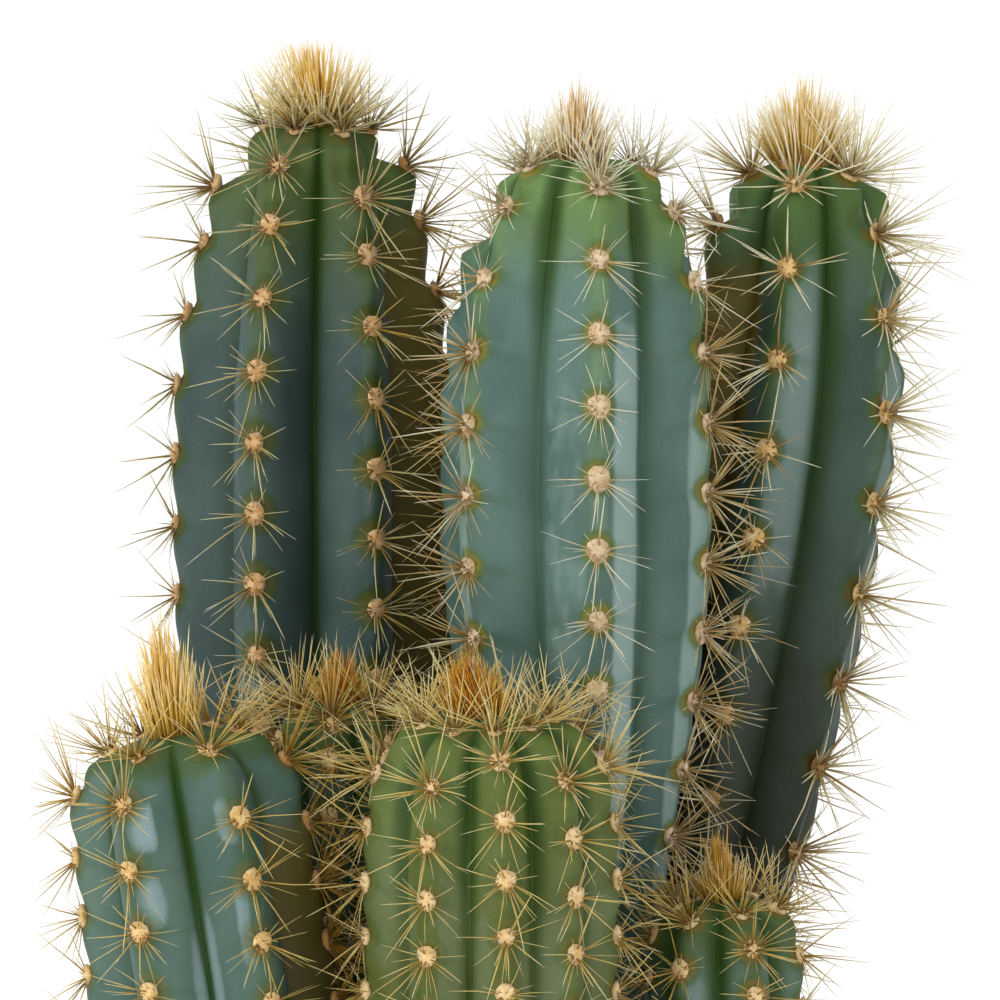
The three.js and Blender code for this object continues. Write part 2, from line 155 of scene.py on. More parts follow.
@dataclass
class Surface:
    """Points and faces of a piece, with named values on its points for the materials to read."""

    points: Array
    quads: Array
    triangles: Array
    values: dict[str, Array] = field(default_factory=dict)

    @staticmethod
    def join(parts: list["Surface"]) -> "Surface":
        """Several surfaces as one.

        Args:
            parts: surfaces that carry the same named values.

        Returns:
            Their points, faces and values, one after the other.
        """
        starts = np.cumsum([0] + [len(part.points) for part in parts[:-1]])
        return Surface(
            np.concatenate([part.points for part in parts]),
            np.concatenate([part.quads + start for part, start in zip(parts, starts)]),
            np.concatenate([part.triangles + start for part, start in zip(parts, starts)]),
            {name: np.concatenate([part.values[name] for part in parts]) for name in parts[0].values},
        )

    def piece(self, name: str, material: bpy.types.Material) -> bpy.types.Object:
        """A smooth-shaded object of this surface, at the origin.

        Args:
            name: the piece's name.
            material: its finish.

        Returns:
            The new object, linked into the scene.
        """
        mesh = bpy.data.meshes.new(name)
        mesh.vertices.add(len(self.points))
        mesh.vertices.foreach_set("co", self.points.astype(np.float32).ravel())
        corners = np.concatenate([self.quads.ravel(), self.triangles.ravel()]).astype(np.int32)
        sizes = np.concatenate([np.full(len(self.quads), 4), np.full(len(self.triangles), 3)])
        mesh.loops.add(len(corners))
        mesh.loops.foreach_set("vertex_index", corners)
        mesh.polygons.add(len(sizes))
        starts = np.concatenate([[0], np.cumsum(sizes)[:-1]]).astype(np.int32)
        mesh.polygons.foreach_set("loop_start", starts)
        mesh.update(calc_edges=True)
        for key, value in self.values.items():
            layer = mesh.attributes.new(key, "FLOAT", "POINT")
            layer.data.foreach_set("value", value.astype(np.float32))
        mesh.shade_smooth()
        mesh.materials.append(material)
        thing = bpy.data.objects.new(name, mesh)
        bpy.context.scene.collection.objects.link(thing)
        return thing


def sleeves(rings: Array, heads: Array, feet: Array, **values: Array) -> Surface:
    """Closed skins through stacks of rings, each with a pole at its head and at its foot.

    Neighbouring ring points are joined by four-sided faces and the end rings to their poles by triangles.
    The points of a ring run anticlockwise seen from the head, so that every face points outwards.

    Args:
        rings: points of shape (items, rows, columns, 3), from head to foot.
        heads: poles over the first rings, of shape (items, 3).
        feet: poles under the last rings, of shape (items, 3).
        **values: named numbers that spread to (items, rows, columns); a pole gets its ring's mean.

    Returns:
        One surface with all the skins.
    """
    items, rows, columns = rings.shape[:3]
    index = np.arange(items * rows * columns).reshape(items, rows, columns)
    after = np.roll(index, -1, axis=2)
    quads = np.stack([index[:, :-1], index[:, 1:], after[:, 1:], after[:, :-1]], axis=-1)
    head = np.broadcast_to(index.size + np.arange(items)[:, None], (items, columns))
    over = np.stack([head, index[:, 0], after[:, 0]], axis=-1)
    under = np.stack([head + items, after[:, -1], index[:, -1]], axis=-1)
    spread = {}
    for name, value in values.items():
        full = np.broadcast_to(value, (items, rows, columns))
        spread[name] = np.concatenate([full.ravel(), full[:, 0].mean(axis=1), full[:, -1].mean(axis=1)])
    return Surface(
        np.concatenate([rings.reshape(-1, 3), heads.reshape(-1, 3), feet.reshape(-1, 3)]),
        quads.reshape(-1, 4),
        np.concatenate([over.reshape(-1, 3), under.reshape(-1, 3)]),
        spread,
    )


@dataclass
class Bristles:
    """Straight or bent spines, each from a root along a direction.

    Attributes:
        root: where each starts, (n, 3).
        way: unit direction of each, (n, 3).
        length: length of each, (n,).
        girth: radius at the root of each, (n,).
        bend: how far the tip is carried aside, (n, 3).
        tone: a number of each for its colour, (n,).
    """

    root: Array
    way: Array
    length: Array
    girth: Array
    bend: Array
    tone: Array

    @staticmethod
    def join(parts: list["Bristles"]) -> "Bristles":
        """Several groups as one."""
        names = [one.name for one in fields(Bristles)]
        return Bristles(*(np.concatenate([getattr(part, name) for part in parts]) for name in names))

    def at(self, share: Any) -> Array:
        """Points on the spines' middle lines.

        The line is root + way * length * share + bend * share^2.

        Args:
            share: share of the length, spreading to (n, 1).

        Returns:
            The points, of shape (n, columns of share, 3).
        """
        share = np.asarray(share)[..., None]
        straight = (self.way * self.length[:, None])[:, None, :] * share
        return self.root[:, None, :] + straight + self.bend[:, None, :] * share**2

    def cut(self, share: Array, least: float) -> "Bristles":
        """The same spines, shortened, without those that would be too short.

        Args:
            share: share of its length that each may keep.
            least: the smallest share that is worth keeping.

        Returns:
            The spines that remain.
        """
        keep = share >= least
        kept = share[keep]
        return Bristles(
            self.root[keep], self.way[keep], self.length[keep] * kept, self.girth[keep],
            self.bend[keep] * (kept**2)[:, None], self.tone[keep],
        )

    def surface(self, sides: int = 3, rows: tuple[float, ...] = (0.86, 0.45, 0.0)) -> Surface:
        """Thin tapered tubes round the middle lines.

        A ring at share s has the radius girth * (1 - 0.8 s^1.3), and the tip is a point.

        Args:
            sides: points in a ring.
            rows: shares of the length that have a ring, from the tip to the root.

        Returns:
            The tubes, with "along" (0 root, 1 tip) and "tone" on their points.
        """
        shares = np.array(rows)
        middle = self.at(np.broadcast_to(shares, (len(self.length), len(shares))))
        helper = np.where(np.abs(self.way[:, 2:]) < 0.8, [[0.0, 0.0, 1.0]], [[1.0, 0.0, 0.0]])
        first = unit(np.cross(self.way, helper))
        second = np.cross(self.way, first)
        spoke = swing(first[:, None, :], second[:, None, :], turns(sides))
        radius = self.girth[:, None] * (1.0 - 0.8 * shares**1.3)
        rings = middle[:, :, None, :] + spoke[:, None, :, :] * radius[:, :, None, None]
        tip = self.at(np.ones((len(self.length), 1)))[:, 0]
        return sleeves(rings, tip, self.root, along=shares[:, None], tone=self.tone[:, None, None])


# ---- Finishes


class Wire:
    """An output in a material's graph that is reckoned with like a number: each step adds a node."""

    def __init__(self, graph: "Graph", socket: bpy.types.NodeSocket) -> None:
        """Holds an output and the graph that it is in."""
        self.graph = graph
        self.socket = socket

    def __add__(self, other: Any) -> "Wire":
        """This plus a number or wire."""
        return self.graph.math("ADD", self, other)

    def __sub__(self, other: Any) -> "Wire":
        """This minus a number or wire."""
        return self.graph.math("SUBTRACT", self, other)

    def __rsub__(self, other: Any) -> "Wire":
        """A number minus this."""
        return self.graph.math("SUBTRACT", other, self)

    def __mul__(self, other: Any) -> "Wire":
        """This times a number or wire."""
        return self.graph.math("MULTIPLY", self, other)

    def __truediv__(self, other: Any) -> "Wire":
        """This divided by a number or wire."""
        return self.graph.math("DIVIDE", self, other)

    def step(self, low: float, high: float) -> "Wire":
        """A smooth step of this from 0 at low to 1 at high, or downwards if low is over high.

        Args:
            low: where it is 0.
            high: where it is 1.

        Returns:
            The step.
        """
        ends = (high, low, 1.0, 0.0) if low > high else (low, high, 0.0, 1.0)
        node = self.graph.nodes.new("ShaderNodeMapRange")
        node.interpolation_type = "SMOOTHSTEP"
        self.graph.join(self, node.inputs["Value"])
        for key, number in zip(RANGE_ENDS, ends):
            node.inputs[key].default_value = number
        return Wire(self.graph, node.outputs["Result"])


class Graph:
    """A material's node graph, with short ways to add its nodes."""

    def __init__(self, name: str) -> None:
        """Starts an empty material with its principled shader and output.

        Args:
            name: the material's name.
        """
        self.material = bpy.data.materials.new(name)
        self.material.use_nodes = True
        self.nodes = self.material.node_tree.nodes
        self.nodes.clear()
        self.shader = self.nodes.new("ShaderNodeBsdfPrincipled")
        output = self.nodes.new("ShaderNodeOutputMaterial")
        self.join(Wire(self, self.shader.outputs[0]), output.inputs["Surface"])
        self.place = Wire(self, self.nodes.new("ShaderNodeTexCoord").outputs["Object"])

    def join(self, source: Any, target: bpy.types.NodeSocket) -> None:
        """Links a wire, or sets a plain value, on an input.

        Args:
            source: a wire, a number, or a colour or vector.
            target: the input.
        """
        if isinstance(source, Wire):
            self.material.node_tree.links.new(source.socket, target)
        elif target.type == "RGBA":
            target.default_value = (*source, 1.0)
        else:
            target.default_value = source

    def set(self, **inputs: Any) -> None:
        """Sets or links inputs of the shader, named with _ for a space."""
        for name, value in inputs.items():
            self.join(value, self.shader.inputs[name.replace("_", " ")])

    def value(self, name: str) -> Wire:
        """The number that the mesh carries on its points under a name.

        Args:
            name: the name.

        Returns:
            The number.
        """
        node = self.nodes.new("ShaderNodeAttribute")
        node.attribute_name = name
        return Wire(self, node.outputs["Fac"])

    def math(self, kind: str, first: Any, second: Any) -> Wire:
        """One arithmetic step.

        Args:
            kind: Blender's name of the operation.
            first: its first number or wire.
            second: its second number or wire.

        Returns:
            The result.
        """
        node = self.nodes.new("ShaderNodeMath")
        node.operation = kind
        self.join(first, node.inputs[0])
        self.join(second, node.inputs[1])
        return Wire(self, node.outputs[0])

    def noise(self, scale: float, detail: float, stretch: Place = (1.0, 1.0, 1.0)) -> Wire:
        """Cloudy noise between 0 and 1.

        Args:
            scale: clouds in a metre.
            detail: octaves.
            stretch: factor on each coordinate; a small one draws the clouds out that way.

        Returns:
            The noise.
        """
        mapping = self.nodes.new("ShaderNodeMapping")
        mapping.inputs["Scale"].default_value = stretch
        self.join(self.place, mapping.inputs["Vector"])
        node = self.nodes.new("ShaderNodeTexNoise")
        self.join(Wire(self, mapping.outputs[0]), node.inputs["Vector"])
        node.inputs["Scale"].default_value = scale
        node.inputs["Detail"].default_value = detail
        return Wire(self, node.outputs["Fac"])

    def mix(self, share: Any, first: Any, second: Any, kind: str = "MIX") -> Wire:
        """A blend of two colours.

        Args:
            share: share of the second, a number or wire.
            first: colour or wire.
            second: colour or wire.
            kind: Blender's name of the blend.

        Returns:
            The colour.
        """
        node = self.nodes.new("ShaderNodeMix")
        node.data_type = "RGBA"
        node.blend_type = kind
        for number, source in ((0, share), (6, first), (7, second)):
            self.join(source, node.inputs[number])
        return Wire(self, node.outputs[2])

    def layers(self, ground: Any, *coats: tuple[Wire, Colour]) -> Any:
        """Colours laid over one another.

        Args:
            ground: the lowest colour.
            *coats: share and colour of each coat over it, in order.

        Returns:
            The colour on top.
        """
        for share, colour in coats:
            ground = self.mix(share, ground, colour)
        return ground

    def gray(self, level: Wire) -> Wire:
        """A grey colour.

        Args:
            level: its red, green and blue.

        Returns:
            The colour.
        """
        node = self.nodes.new("ShaderNodeCombineColor")
        for channel in node.inputs:
            self.join(level, channel)
        return Wire(self, node.outputs[0])

    def bump(self, height: Wire, depth: float, strength: float) -> None:
        """Roughens the surface.

        Args:
            height: height between 0 and 1.
            depth: the depth of a step of 1, in metres.
            strength: share of the effect.
        """
        node = self.nodes.new("ShaderNodeBump")
        node.inputs["Strength"].default_value = strength
        node.inputs["Distance"].default_value = depth
        self.join(height, node.inputs["Height"])
        self.join(Wire(self, node.outputs[0]), self.shader.inputs["Normal"])


class Finish(ABC):
    """What all finishes share: each paints the graph of a new material."""

    @abstractmethod
    def paint(self, graph: Graph) -> None:
        """Adds the finish's nodes to a graph."""

    def material(self, name: str) -> bpy.types.Material:
        """The finish as a material.

        Args:
            name: the material's name.

        Returns:
            The material.
        """
        graph = Graph(name)
        self.paint(graph)
        return graph.material


@dataclass(frozen=True)
class SkinFinish(Finish):
    """Waxy skin with a powdery bloom.

    Attributes:
        deep: colour of the thinner bloom.
        pale: colour of the thicker bloom.
        powder: how far the powdery patches cover the body colour.
        young: colour of the fresh growth at the top.
        groove_top: share of the flank that the dark fold takes at the top.
        groove_low: the same further down.
        groove_fade: distance below the apex where it has become the latter.
        groove_rest: how strong the fold still is there.
        green_depth: how far down the green of the fresh growth reaches.
        painted_low_shade: how much painted shade darkens the skin down the column.
        rings: how strong the rings round the areoles are.
        spread: factor on their width.
        bloom: colour of the powdery patches.
        fold: greener groove skin with painted shade; also painted shade in creases and towards the grooves.
        halo: colour of the green rings round the areoles.
        ochre: colour close round the areoles.
        cork: colour of the old skin near the soil.
        painted_shade_tint: colour of the painted shade on the sides that face the neighbouring columns, and
            low down.
    """

    deep: Colour
    pale: Colour
    powder: float
    young: Colour
    groove_top: float
    groove_low: float
    groove_fade: float = 0.06
    groove_rest: float = 0.8
    green_depth: float = 0.034
    painted_low_shade: float = 0.0
    rings: float = 0.85
    spread: float = 1.0
    bloom: Colour = shade(132, 155, 150, 0.76)
    fold: Colour = shade(42, 72, 10, 0.7)
    halo: Colour = shade(72, 98, 44, 0.66)
    ochre: Colour = shade(112, 100, 38, 0.72)
    cork: Colour = shade(120, 102, 70, 0.9)
    painted_shade_tint: Colour = shade(88, 76, 22, 0.95)

    def paint(self, graph: Graph) -> None:
        """Paints the skin.

        Clouds mix the two body colours; a green cap, powdery patches, dark fold lines of greener skin with
        painted shade, ochre rings round the areoles, painted shade in the faint creases and towards the
        grooves, painted shade on the sides that face the neighbours and low down, and cork at the foot go
        over them;
        grain varies it, and painted shade darkens it down the column and on the darkened sides.

        Args:
            graph: the graph of its material.
        """
        across, below, frost = (graph.value(key) for key in ("across", "below", "frost"))
        cloud = graph.noise(55.0, 4.0, (1.0, 1.0, 0.55))
        streak = graph.noise(150.0, 3.0, (1.0, 1.0, 0.16))
        blotch = graph.noise(240.0, 3.0, (1.0, 1.0, 0.5))
        fleck = graph.noise(900.0, 2.0)
        grain = graph.noise(2600.0, 1.0)
        powder = (frost + (blotch - 0.5) * 0.8).step(0.3, 0.66) * frost
        ridge = across.step(0.2, 0.02) * streak.step(0.48, 0.66)
        patches = graph.math("MAXIMUM", powder, ridge * 0.45)
        cap = (below + (cloud - 0.5) * 0.02).step(self.green_depth, 0.004)
        green_crest = across.step(0.3, 0.05) * below.step(0.11, 0.03)
        reach = below.step(0.012, self.groove_fade)
        width = reach * (self.groove_low - self.groove_top) + self.groove_top
        groove = ((across - (1.0 - width)) / width).step(0.0, 0.75) * (reach * (self.groove_rest - 0.9) + 0.9)
        near = graph.value("near") / self.spread + (fleck - 0.5) * 0.0016
        shade_sides_mask = graph.value("shelter") + (cloud - 0.5) * 0.5
        scab = graph.value("cork") + (streak - 0.5)
        colour = graph.layers(
            self.deep,
            (cloud.step(0.32, 0.68), self.pale),
            (patches * self.powder, self.bloom),
            (cap * 0.85, self.young),
            (green_crest * 0.5, self.young),
            # Painted shade in the creases and towards each groove; greener groove skin with painted shade.
            (graph.value("crease") * 0.42, self.fold),
            (across.step(0.6, 1.0) * 0.28, self.fold),
            (groove * graph.value("seam"), self.fold),
            (near.step(0.0062, 0.0044) * (0.9 * self.rings), self.halo),
            (near.step(0.0046, 0.0034) * self.rings, self.ochre),
            # Painted shade in an olive-brown tint: on the sides that face the neighbouring columns, and low
            # down.
            (shade_sides_mask.step(0.25, 0.8) * 0.9, self.painted_shade_tint),
            (below.step(0.06, 0.2) * (0.4 * self.painted_low_shade), self.painted_shade_tint),
            (scab.step(0.35, 0.75) * 0.9, self.cork),
        )
        # Painted shade: the skin gets darker down the column and on the darkened sides; grain varies it at
        # random.
        painted_low_shade = 1.0 - below.step(0.03, 0.19) * self.painted_low_shade
        light = (grain * 0.36 + 0.82) * (painted_low_shade - graph.value("dim"))
        colour = graph.mix(1.0, colour, graph.gray(light), "MULTIPLY")
        graph.set(Base_Color=colour, Roughness=cloud * 0.2 + 0.46, Specular_IOR_Level=0.22)
        graph.bump(fleck * 0.6 + streak, 0.00022, 0.5)


@dataclass(frozen=True)
class SpineFinish(Finish):
    """Horny spines: darker at the root, clear towards the tip.

    Attributes:
        root: colour at the root.
        stem: colour of most of the length.
        tip: colour near the tip.
        aged: colour that some spines turn to; it also carries painted shade.
    """

    root: Colour
    stem: Colour
    tip: Colour
    aged: Colour

    def paint(self, graph: Graph) -> None:
        """Paints the spines: a run of colours from root to tip, and a share of darker spines.

        Args:
            graph: the graph of their material.
        """
        along = graph.value("along")
        colour = graph.layers(
            self.root,
            (along.step(0.0, 0.4), self.stem),
            (along.step(0.45, 1.0), self.tip),
            # Aged spines; the tone also carries painted shade from low down and from the shaded sides.
            (graph.value("tone").step(0.45, 1.0) * 0.85, self.aged),
            (graph.noise(700.0, 2.0).step(0.5, 0.8) * 0.3, self.aged),
        )
        graph.set(Base_Color=colour, Roughness=0.5, Specular_IOR_Level=0.3, Subsurface_Weight=0.6,
                  Subsurface_Scale=0.0008, Subsurface_Radius=(1.0, 1.0, 1.0))


@dataclass(frozen=True)
class WoolFinish(Finish):
    """Felted wool of the areoles.

    Attributes:
        light: colour of the clean wool.
        warm: colour of the browner, discoloured wool.
        slit: colour of the gaps that the spines leave.
        stained_and_shaded: colour of old wool, and of the painted shade on the wool.
    """

    light: Colour
    warm: Colour
    slit: Colour = shade(120, 84, 46)
    stained_and_shaded: Colour = shade(158, 108, 38, 0.9)

    def paint(self, graph: Graph) -> None:
        """Paints the wool: warm and clean clouds, small dark gaps, old wool with painted shade, and a soft
        sheen.

        Args:
            graph: the graph of its material.
        """
        fibre = graph.noise(1900.0, 2.0, (1.0, 1.0, 0.5))
        colour = graph.layers(
            self.warm,
            (graph.noise(420.0, 3.0).step(0.35, 0.65), self.light),
            (fibre.step(0.6, 0.75) * 0.55, self.slit),
            # Old wool, with painted shade where the tone carries it.
            (graph.value("tone").step(0.4, 1.1) * 0.85, self.stained_and_shaded),
        )
        graph.set(Base_Color=colour, Roughness=0.95, Sheen_Weight=0.25, Sheen_Roughness=0.6,
                  Specular_IOR_Level=0.15)
        graph.bump(fibre, 0.0005, 0.8)


@dataclass(frozen=True)
class EarthFinish(Finish):
    """Moist potting soil or the grit that lies in it.

    Attributes:
        dark: colour of the moist hollows.
        light: colour of the dry crumbs.
        scale: crumbs in a metre.
    """

    dark: Colour = shade(48, 36, 26)
    light: Colour = shade(104, 82, 60)
    scale: float = 260.0

    def paint(self, graph: Graph) -> None:
        """Paints dark and light crumbs, each grain with a tone of its own.

        Args:
            graph: the graph of their material.
        """
        crumbs = graph.noise(self.scale, 5.0)
        grain = graph.value("tone") * 0.5
        colour = graph.layers(self.dark, (crumbs.step(0.35, 0.7), self.light), (grain, self.light))
        graph.set(Base_Color=colour, Roughness=0.92, Specular_IOR_Level=0.2)
        graph.bump(crumbs, 0.0012, 0.9)


@dataclass(frozen=True)
class ClayFinish(Finish):
    """Unglazed fired clay with salts that bloom on it.

    Attributes:
        clay: main colour.
        fired: darker colour of the fired clouds.
        salt: colour of the chalky salts.
    """

    clay: Colour = shade(188, 112, 78)
    fired: Colour = shade(158, 86, 58)
    salt: Colour = shade(222, 196, 176)

    def paint(self, graph: Graph) -> None:
        """Paints the clay: fired clouds, fine specks, turning marks and salts near the foot and rim.

        Args:
            graph: the graph of its material.
        """
        cloud = graph.noise(22.0, 4.0)
        speck = graph.noise(900.0, 2.0)
        turning = graph.noise(95.0, 2.0, (0.08, 0.08, 3.0))
        colour = graph.layers(
            self.fired,
            (cloud.step(0.3, 0.72), self.clay),
            ((graph.value("damp") + (cloud - 0.62)).step(0.0, 0.7) * 0.55, self.salt),
            (speck.step(0.62, 0.72) * 0.4, self.fired),
        )
        graph.set(Base_Color=colour, Roughness=0.86, Specular_IOR_Level=0.22)
        graph.bump(turning + speck * 0.5, 0.0006, 0.6)


# ---- Colours


class Complexion(Enum):
    """The skins of the columns."""

    DUSKY = SkinFinish(
        deep=shade(54, 76, 74, 0.6), pale=shade(72, 96, 90, 0.6), powder=0.3,
        young=shade(84, 104, 28, 0.56), green_depth=0.058, groove_top=0.34, groove_low=0.16, groove_rest=0.6,
        rings=0.9, spread=1.05, halo=shade(62, 84, 30, 0.58), ochre=shade(86, 88, 26, 0.6),
    )
    FROSTED = SkinFinish(
        deep=shade(80, 110, 102, 0.6), pale=shade(98, 128, 118, 0.6), powder=0.8,
        bloom=shade(140, 164, 158, 0.8), young=shade(104, 136, 60, 0.64),
        groove_top=0.45, groove_low=0.14, groove_rest=0.12,
        spread=0.84, halo=shade(90, 112, 50, 0.66), ochre=shade(134, 122, 40, 0.68),
    )
    SMOKY = SkinFinish(
        deep=shade(60, 85, 71, 0.54), pale=shade(82, 109, 95, 0.54), powder=0.62, painted_low_shade=0.74,
        young=shade(84, 118, 44, 0.58), green_depth=0.04,
        groove_top=0.5, groove_low=0.3, groove_fade=0.13, groove_rest=0.2,
        spread=0.95, ochre=shade(112, 96, 24, 0.62),
    )
    CHALKY = SkinFinish(
        deep=shade(76, 106, 96, 0.57), pale=shade(98, 126, 112, 0.57), powder=0.75,
        bloom=shade(134, 158, 160, 0.78), young=shade(70, 98, 50, 0.58), green_depth=0.007,
        groove_top=0.22, groove_low=0.08, groove_fade=0.08, rings=0.4,
    )
    OLIVE = SkinFinish(
        deep=shade(86, 94, 34, 0.68), pale=shade(104, 118, 74, 0.69), powder=0.75,
        bloom=shade(106, 120, 84, 0.7), young=shade(92, 110, 40, 0.66), green_depth=0.042,
        groove_top=0.5, groove_low=0.3, groove_rest=0.3, rings=0.5,
    )
    SHADED = SkinFinish(
        deep=shade(76, 100, 80, 0.6), pale=shade(100, 126, 108, 0.6), powder=0.5,
        young=shade(84, 100, 44, 0.52), green_depth=0.02, groove_top=0.6, groove_low=0.4, groove_rest=0.7,
    )


class Horn(Enum):
    """Display colours and gains of spines: root, stem, tip and aged."""

    GOLD = (178, 128, 36, 0.85), (216, 186, 112, 0.9), (232, 218, 172, 0.96), (220, 164, 10, 0.86)
    PALE_GOLD = (170, 118, 56, 0.8), (212, 188, 136, 0.86), (232, 222, 192, 0.94), (206, 158, 78, 0.84)
    FLAME_GOLD = (196, 142, 46, 0.85), (222, 188, 108, 0.86), (236, 224, 190, 0.94), (222, 170, 46, 0.86)
    AMBER = (150, 84, 6, 0.7), (182, 114, 12, 0.7), (192, 144, 46, 0.8), (184, 94, 0, 0.64)
    DRAB = (156, 122, 62, 0.75), (166, 156, 100, 0.75), (190, 184, 140, 0.8), (158, 124, 30, 0.78)
    HONEY = (150, 100, 16, 0.75), (180, 136, 40, 0.8), (204, 170, 92, 0.84), (190, 126, 10, 0.76)
    SUNNY = (192, 138, 32, 0.88), (216, 170, 66, 0.92), (234, 206, 132, 0.96), (216, 158, 34, 0.88)
    FROSTY = (190, 158, 108, 0.82), (196, 190, 154, 0.82), (214, 210, 186, 0.85), (162, 124, 30, 0.74)
    CREAM = (196, 162, 96, 0.84), (210, 200, 156, 0.88), (226, 220, 190, 0.9), (158, 118, 26, 0.74)
    STRAW = (166, 126, 46, 0.8), (190, 164, 84, 0.82), (206, 190, 124, 0.86), (160, 116, 24, 0.8)
    BRASS = (150, 108, 32, 0.8), (180, 150, 66, 0.8), (200, 178, 106, 0.82), (154, 110, 22, 0.8)

    @property
    def finish(self) -> SpineFinish:
        """Spines in these colours."""
        return SpineFinish(*(shade(*tint) for tint in self.value))


class Wool(Enum):
    """Display colours of wool: clean, warm and, where not the usual ones, slits and stains with painted
    shade.
    """

    TAN = (190, 156, 110), (160, 122, 72), (100, 70, 34)
    PINK = (196, 176, 146), (174, 146, 106), (118, 88, 50)
    HONEY = (206, 176, 120), (184, 146, 82), (118, 84, 36)
    GOLDEN = (214, 184, 128), (196, 154, 84), (128, 92, 40), (150, 100, 2, 0.58)
    STRAW = (210, 186, 138), (190, 156, 100), (126, 94, 46)
    CROWN = (170, 136, 62), (148, 110, 36), (96, 70, 18)
    AMBER = (176, 122, 40), (150, 92, 20)

    @property
    def finish(self) -> WoolFinish:
        """Wool in these colours."""
        return WoolFinish(*(shade(*tint) for tint in self.value))


BARK = EarthFinish(shade(62, 44, 30), shade(128, 98, 70))
PUMICE = EarthFinish(shade(150, 140, 124), shade(214, 208, 196))


# ---- Soil and pot


@dataclass(frozen=True)
class Pot:
    """A turned clay pot with a rim band and four drain holes.

    Its wall is a profile turned round the upright axis; the drain holes are cut through its floor.

    Attributes:
        height: from the floor to the rim.
        foot_radius: outer radius of the foot.
        floor: thickness of its floor.
        wall: thickness of its wall.
        inner_foot: radius of the inside at the foot.
        inner_rim: the same at the rim.
        rim_radius: outer radius of the rim.
        rim_height: height of the band round the rim.
        edge: width of the rounded edges.
        drain_radius: radius of a drain hole.
        drain_ring: distance of the drain holes from the middle.
        drains: how many there are.
        sides: points in a ring.
        step: distance from one ring of points to the next.
        mark: depth of the turning marks.
        finish: the clay.
    """

    height: float = 0.145
    foot_radius: float = 0.064
    floor: float = 0.010
    wall: float = 0.006
    inner_foot: float = 0.058
    inner_rim: float = 0.085
    rim_radius: float = 0.094
    rim_height: float = 0.028
    edge: float = 0.0018
    drain_radius: float = 0.0055
    drain_ring: float = 0.038
    drains: int = 4
    sides: int = 144
    step: float = 0.003
    mark: float = 0.00012
    finish: ClayFinish = ClayFinish()

    def corners(self) -> list[tuple[float, float]]:
        """Corners of the section, from the middle of the foot round to the inside.

        Returns:
            Radius and height of each.
        """
        ledge = self.height - self.rim_height
        wall_top = lerp(self.inner_foot, self.inner_rim, ledge / self.height) + self.wall
        band = self.rim_radius - 0.003
        return [
            (self.foot_radius - self.edge, 0.0), (self.foot_radius, self.edge),
            (wall_top, ledge), (band - self.edge, ledge + 0.001), (band, ledge + 0.001 + self.edge),
            (self.rim_radius, self.height - self.edge), (self.rim_radius - self.edge, self.height),
            (self.inner_rim + self.edge, self.height), (self.inner_rim, self.height - self.edge),
            (self.inner_foot + 0.001, self.floor + 0.004), (self.inner_foot - 0.003, self.floor),
        ]

    def surface(self) -> Surface:
        """The turned wall.

        Each stretch of the section is cut into short steps, and every point is turned to
        (r sin a, -r cos a, z); low turning marks of a sine wave of 0.12 mm go on the outside.

        Returns:
            The closed wall, with "damp" (1 where salts gather) on its points.
        """
        corners = np.array(self.corners())
        lengths = np.linalg.norm(np.diff(corners, axis=0), axis=1)
        steps = np.maximum(1, np.round(lengths / self.step)).astype(int)
        pieces = [np.linspace(a, b, n, endpoint=False) for a, b, n in zip(corners, corners[1:], steps)]
        section = np.concatenate([*pieces, corners[-1:]])
        radius, height = section[:, 0], section[:, 1]
        outside = radius > lerp(self.inner_foot, self.inner_rim, height / self.height) + 0.5 * self.wall
        radius = radius - outside * self.mark * (1.0 + np.sin(height * 1400.0)) * (height > 0.003)
        rings = spun(radius[:, None], -turns(self.sides), height[:, None])
        damp = np.maximum(1.0 - height / 0.05, smoothstep(height, 0.105, 0.145) * 0.8)
        head = np.array([[0.0, 0.0, 0.0]])
        foot = np.array([[0.0, 0.0, self.floor]])
        return sleeves(rings[None], head, foot, damp=damp[:, None])

    def drill(self) -> Surface:
        """The upright bars that the drain holes are cut with.

        Returns:
            One round bar for each hole, from above the floor to below it.
        """
        around = np.radians(45.0 + 360.0 * np.arange(self.drains) / self.drains)
        centre = np.stack([np.cos(around), np.sin(around)], axis=-1) * self.drain_ring
        turn = turns(24)
        circle = np.stack([np.cos(turn), np.sin(turn)], axis=-1) * self.drain_radius
        flat = centre[:, None, None, :] + circle
        heights = np.array([2.0 * self.floor, -self.floor])
        rings = np.stack(np.broadcast_arrays(flat[..., 0], flat[..., 1], heights[:, None]), axis=-1)
        head, foot = (np.concatenate([centre, np.full((self.drains, 1), z)], axis=1) for z in heights)
        return sleeves(rings, head, foot)

    def build(self) -> bpy.types.Object:
        """Makes the pot, with its drain holes cut, in place of the plain one.

        Returns:
            The pot's object.
        """
        pot = self.surface().piece("clay_pot", self.finish.material("fired_clay"))
        drill = self.drill().piece("drill", pot.data.materials[0])
        modifier = pot.modifiers.new("drains", "BOOLEAN")
        modifier.operation = "DIFFERENCE"
        modifier.solver = "EXACT"
        modifier.object = drill
        baked = bpy.data.meshes.new_from_object(pot.evaluated_get(bpy.context.evaluated_depsgraph_get()))
        pot.modifiers.clear()
        pot.data = baked
        bpy.data.objects.remove(drill)
        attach(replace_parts(pot, "pot"), "root")
        return pot


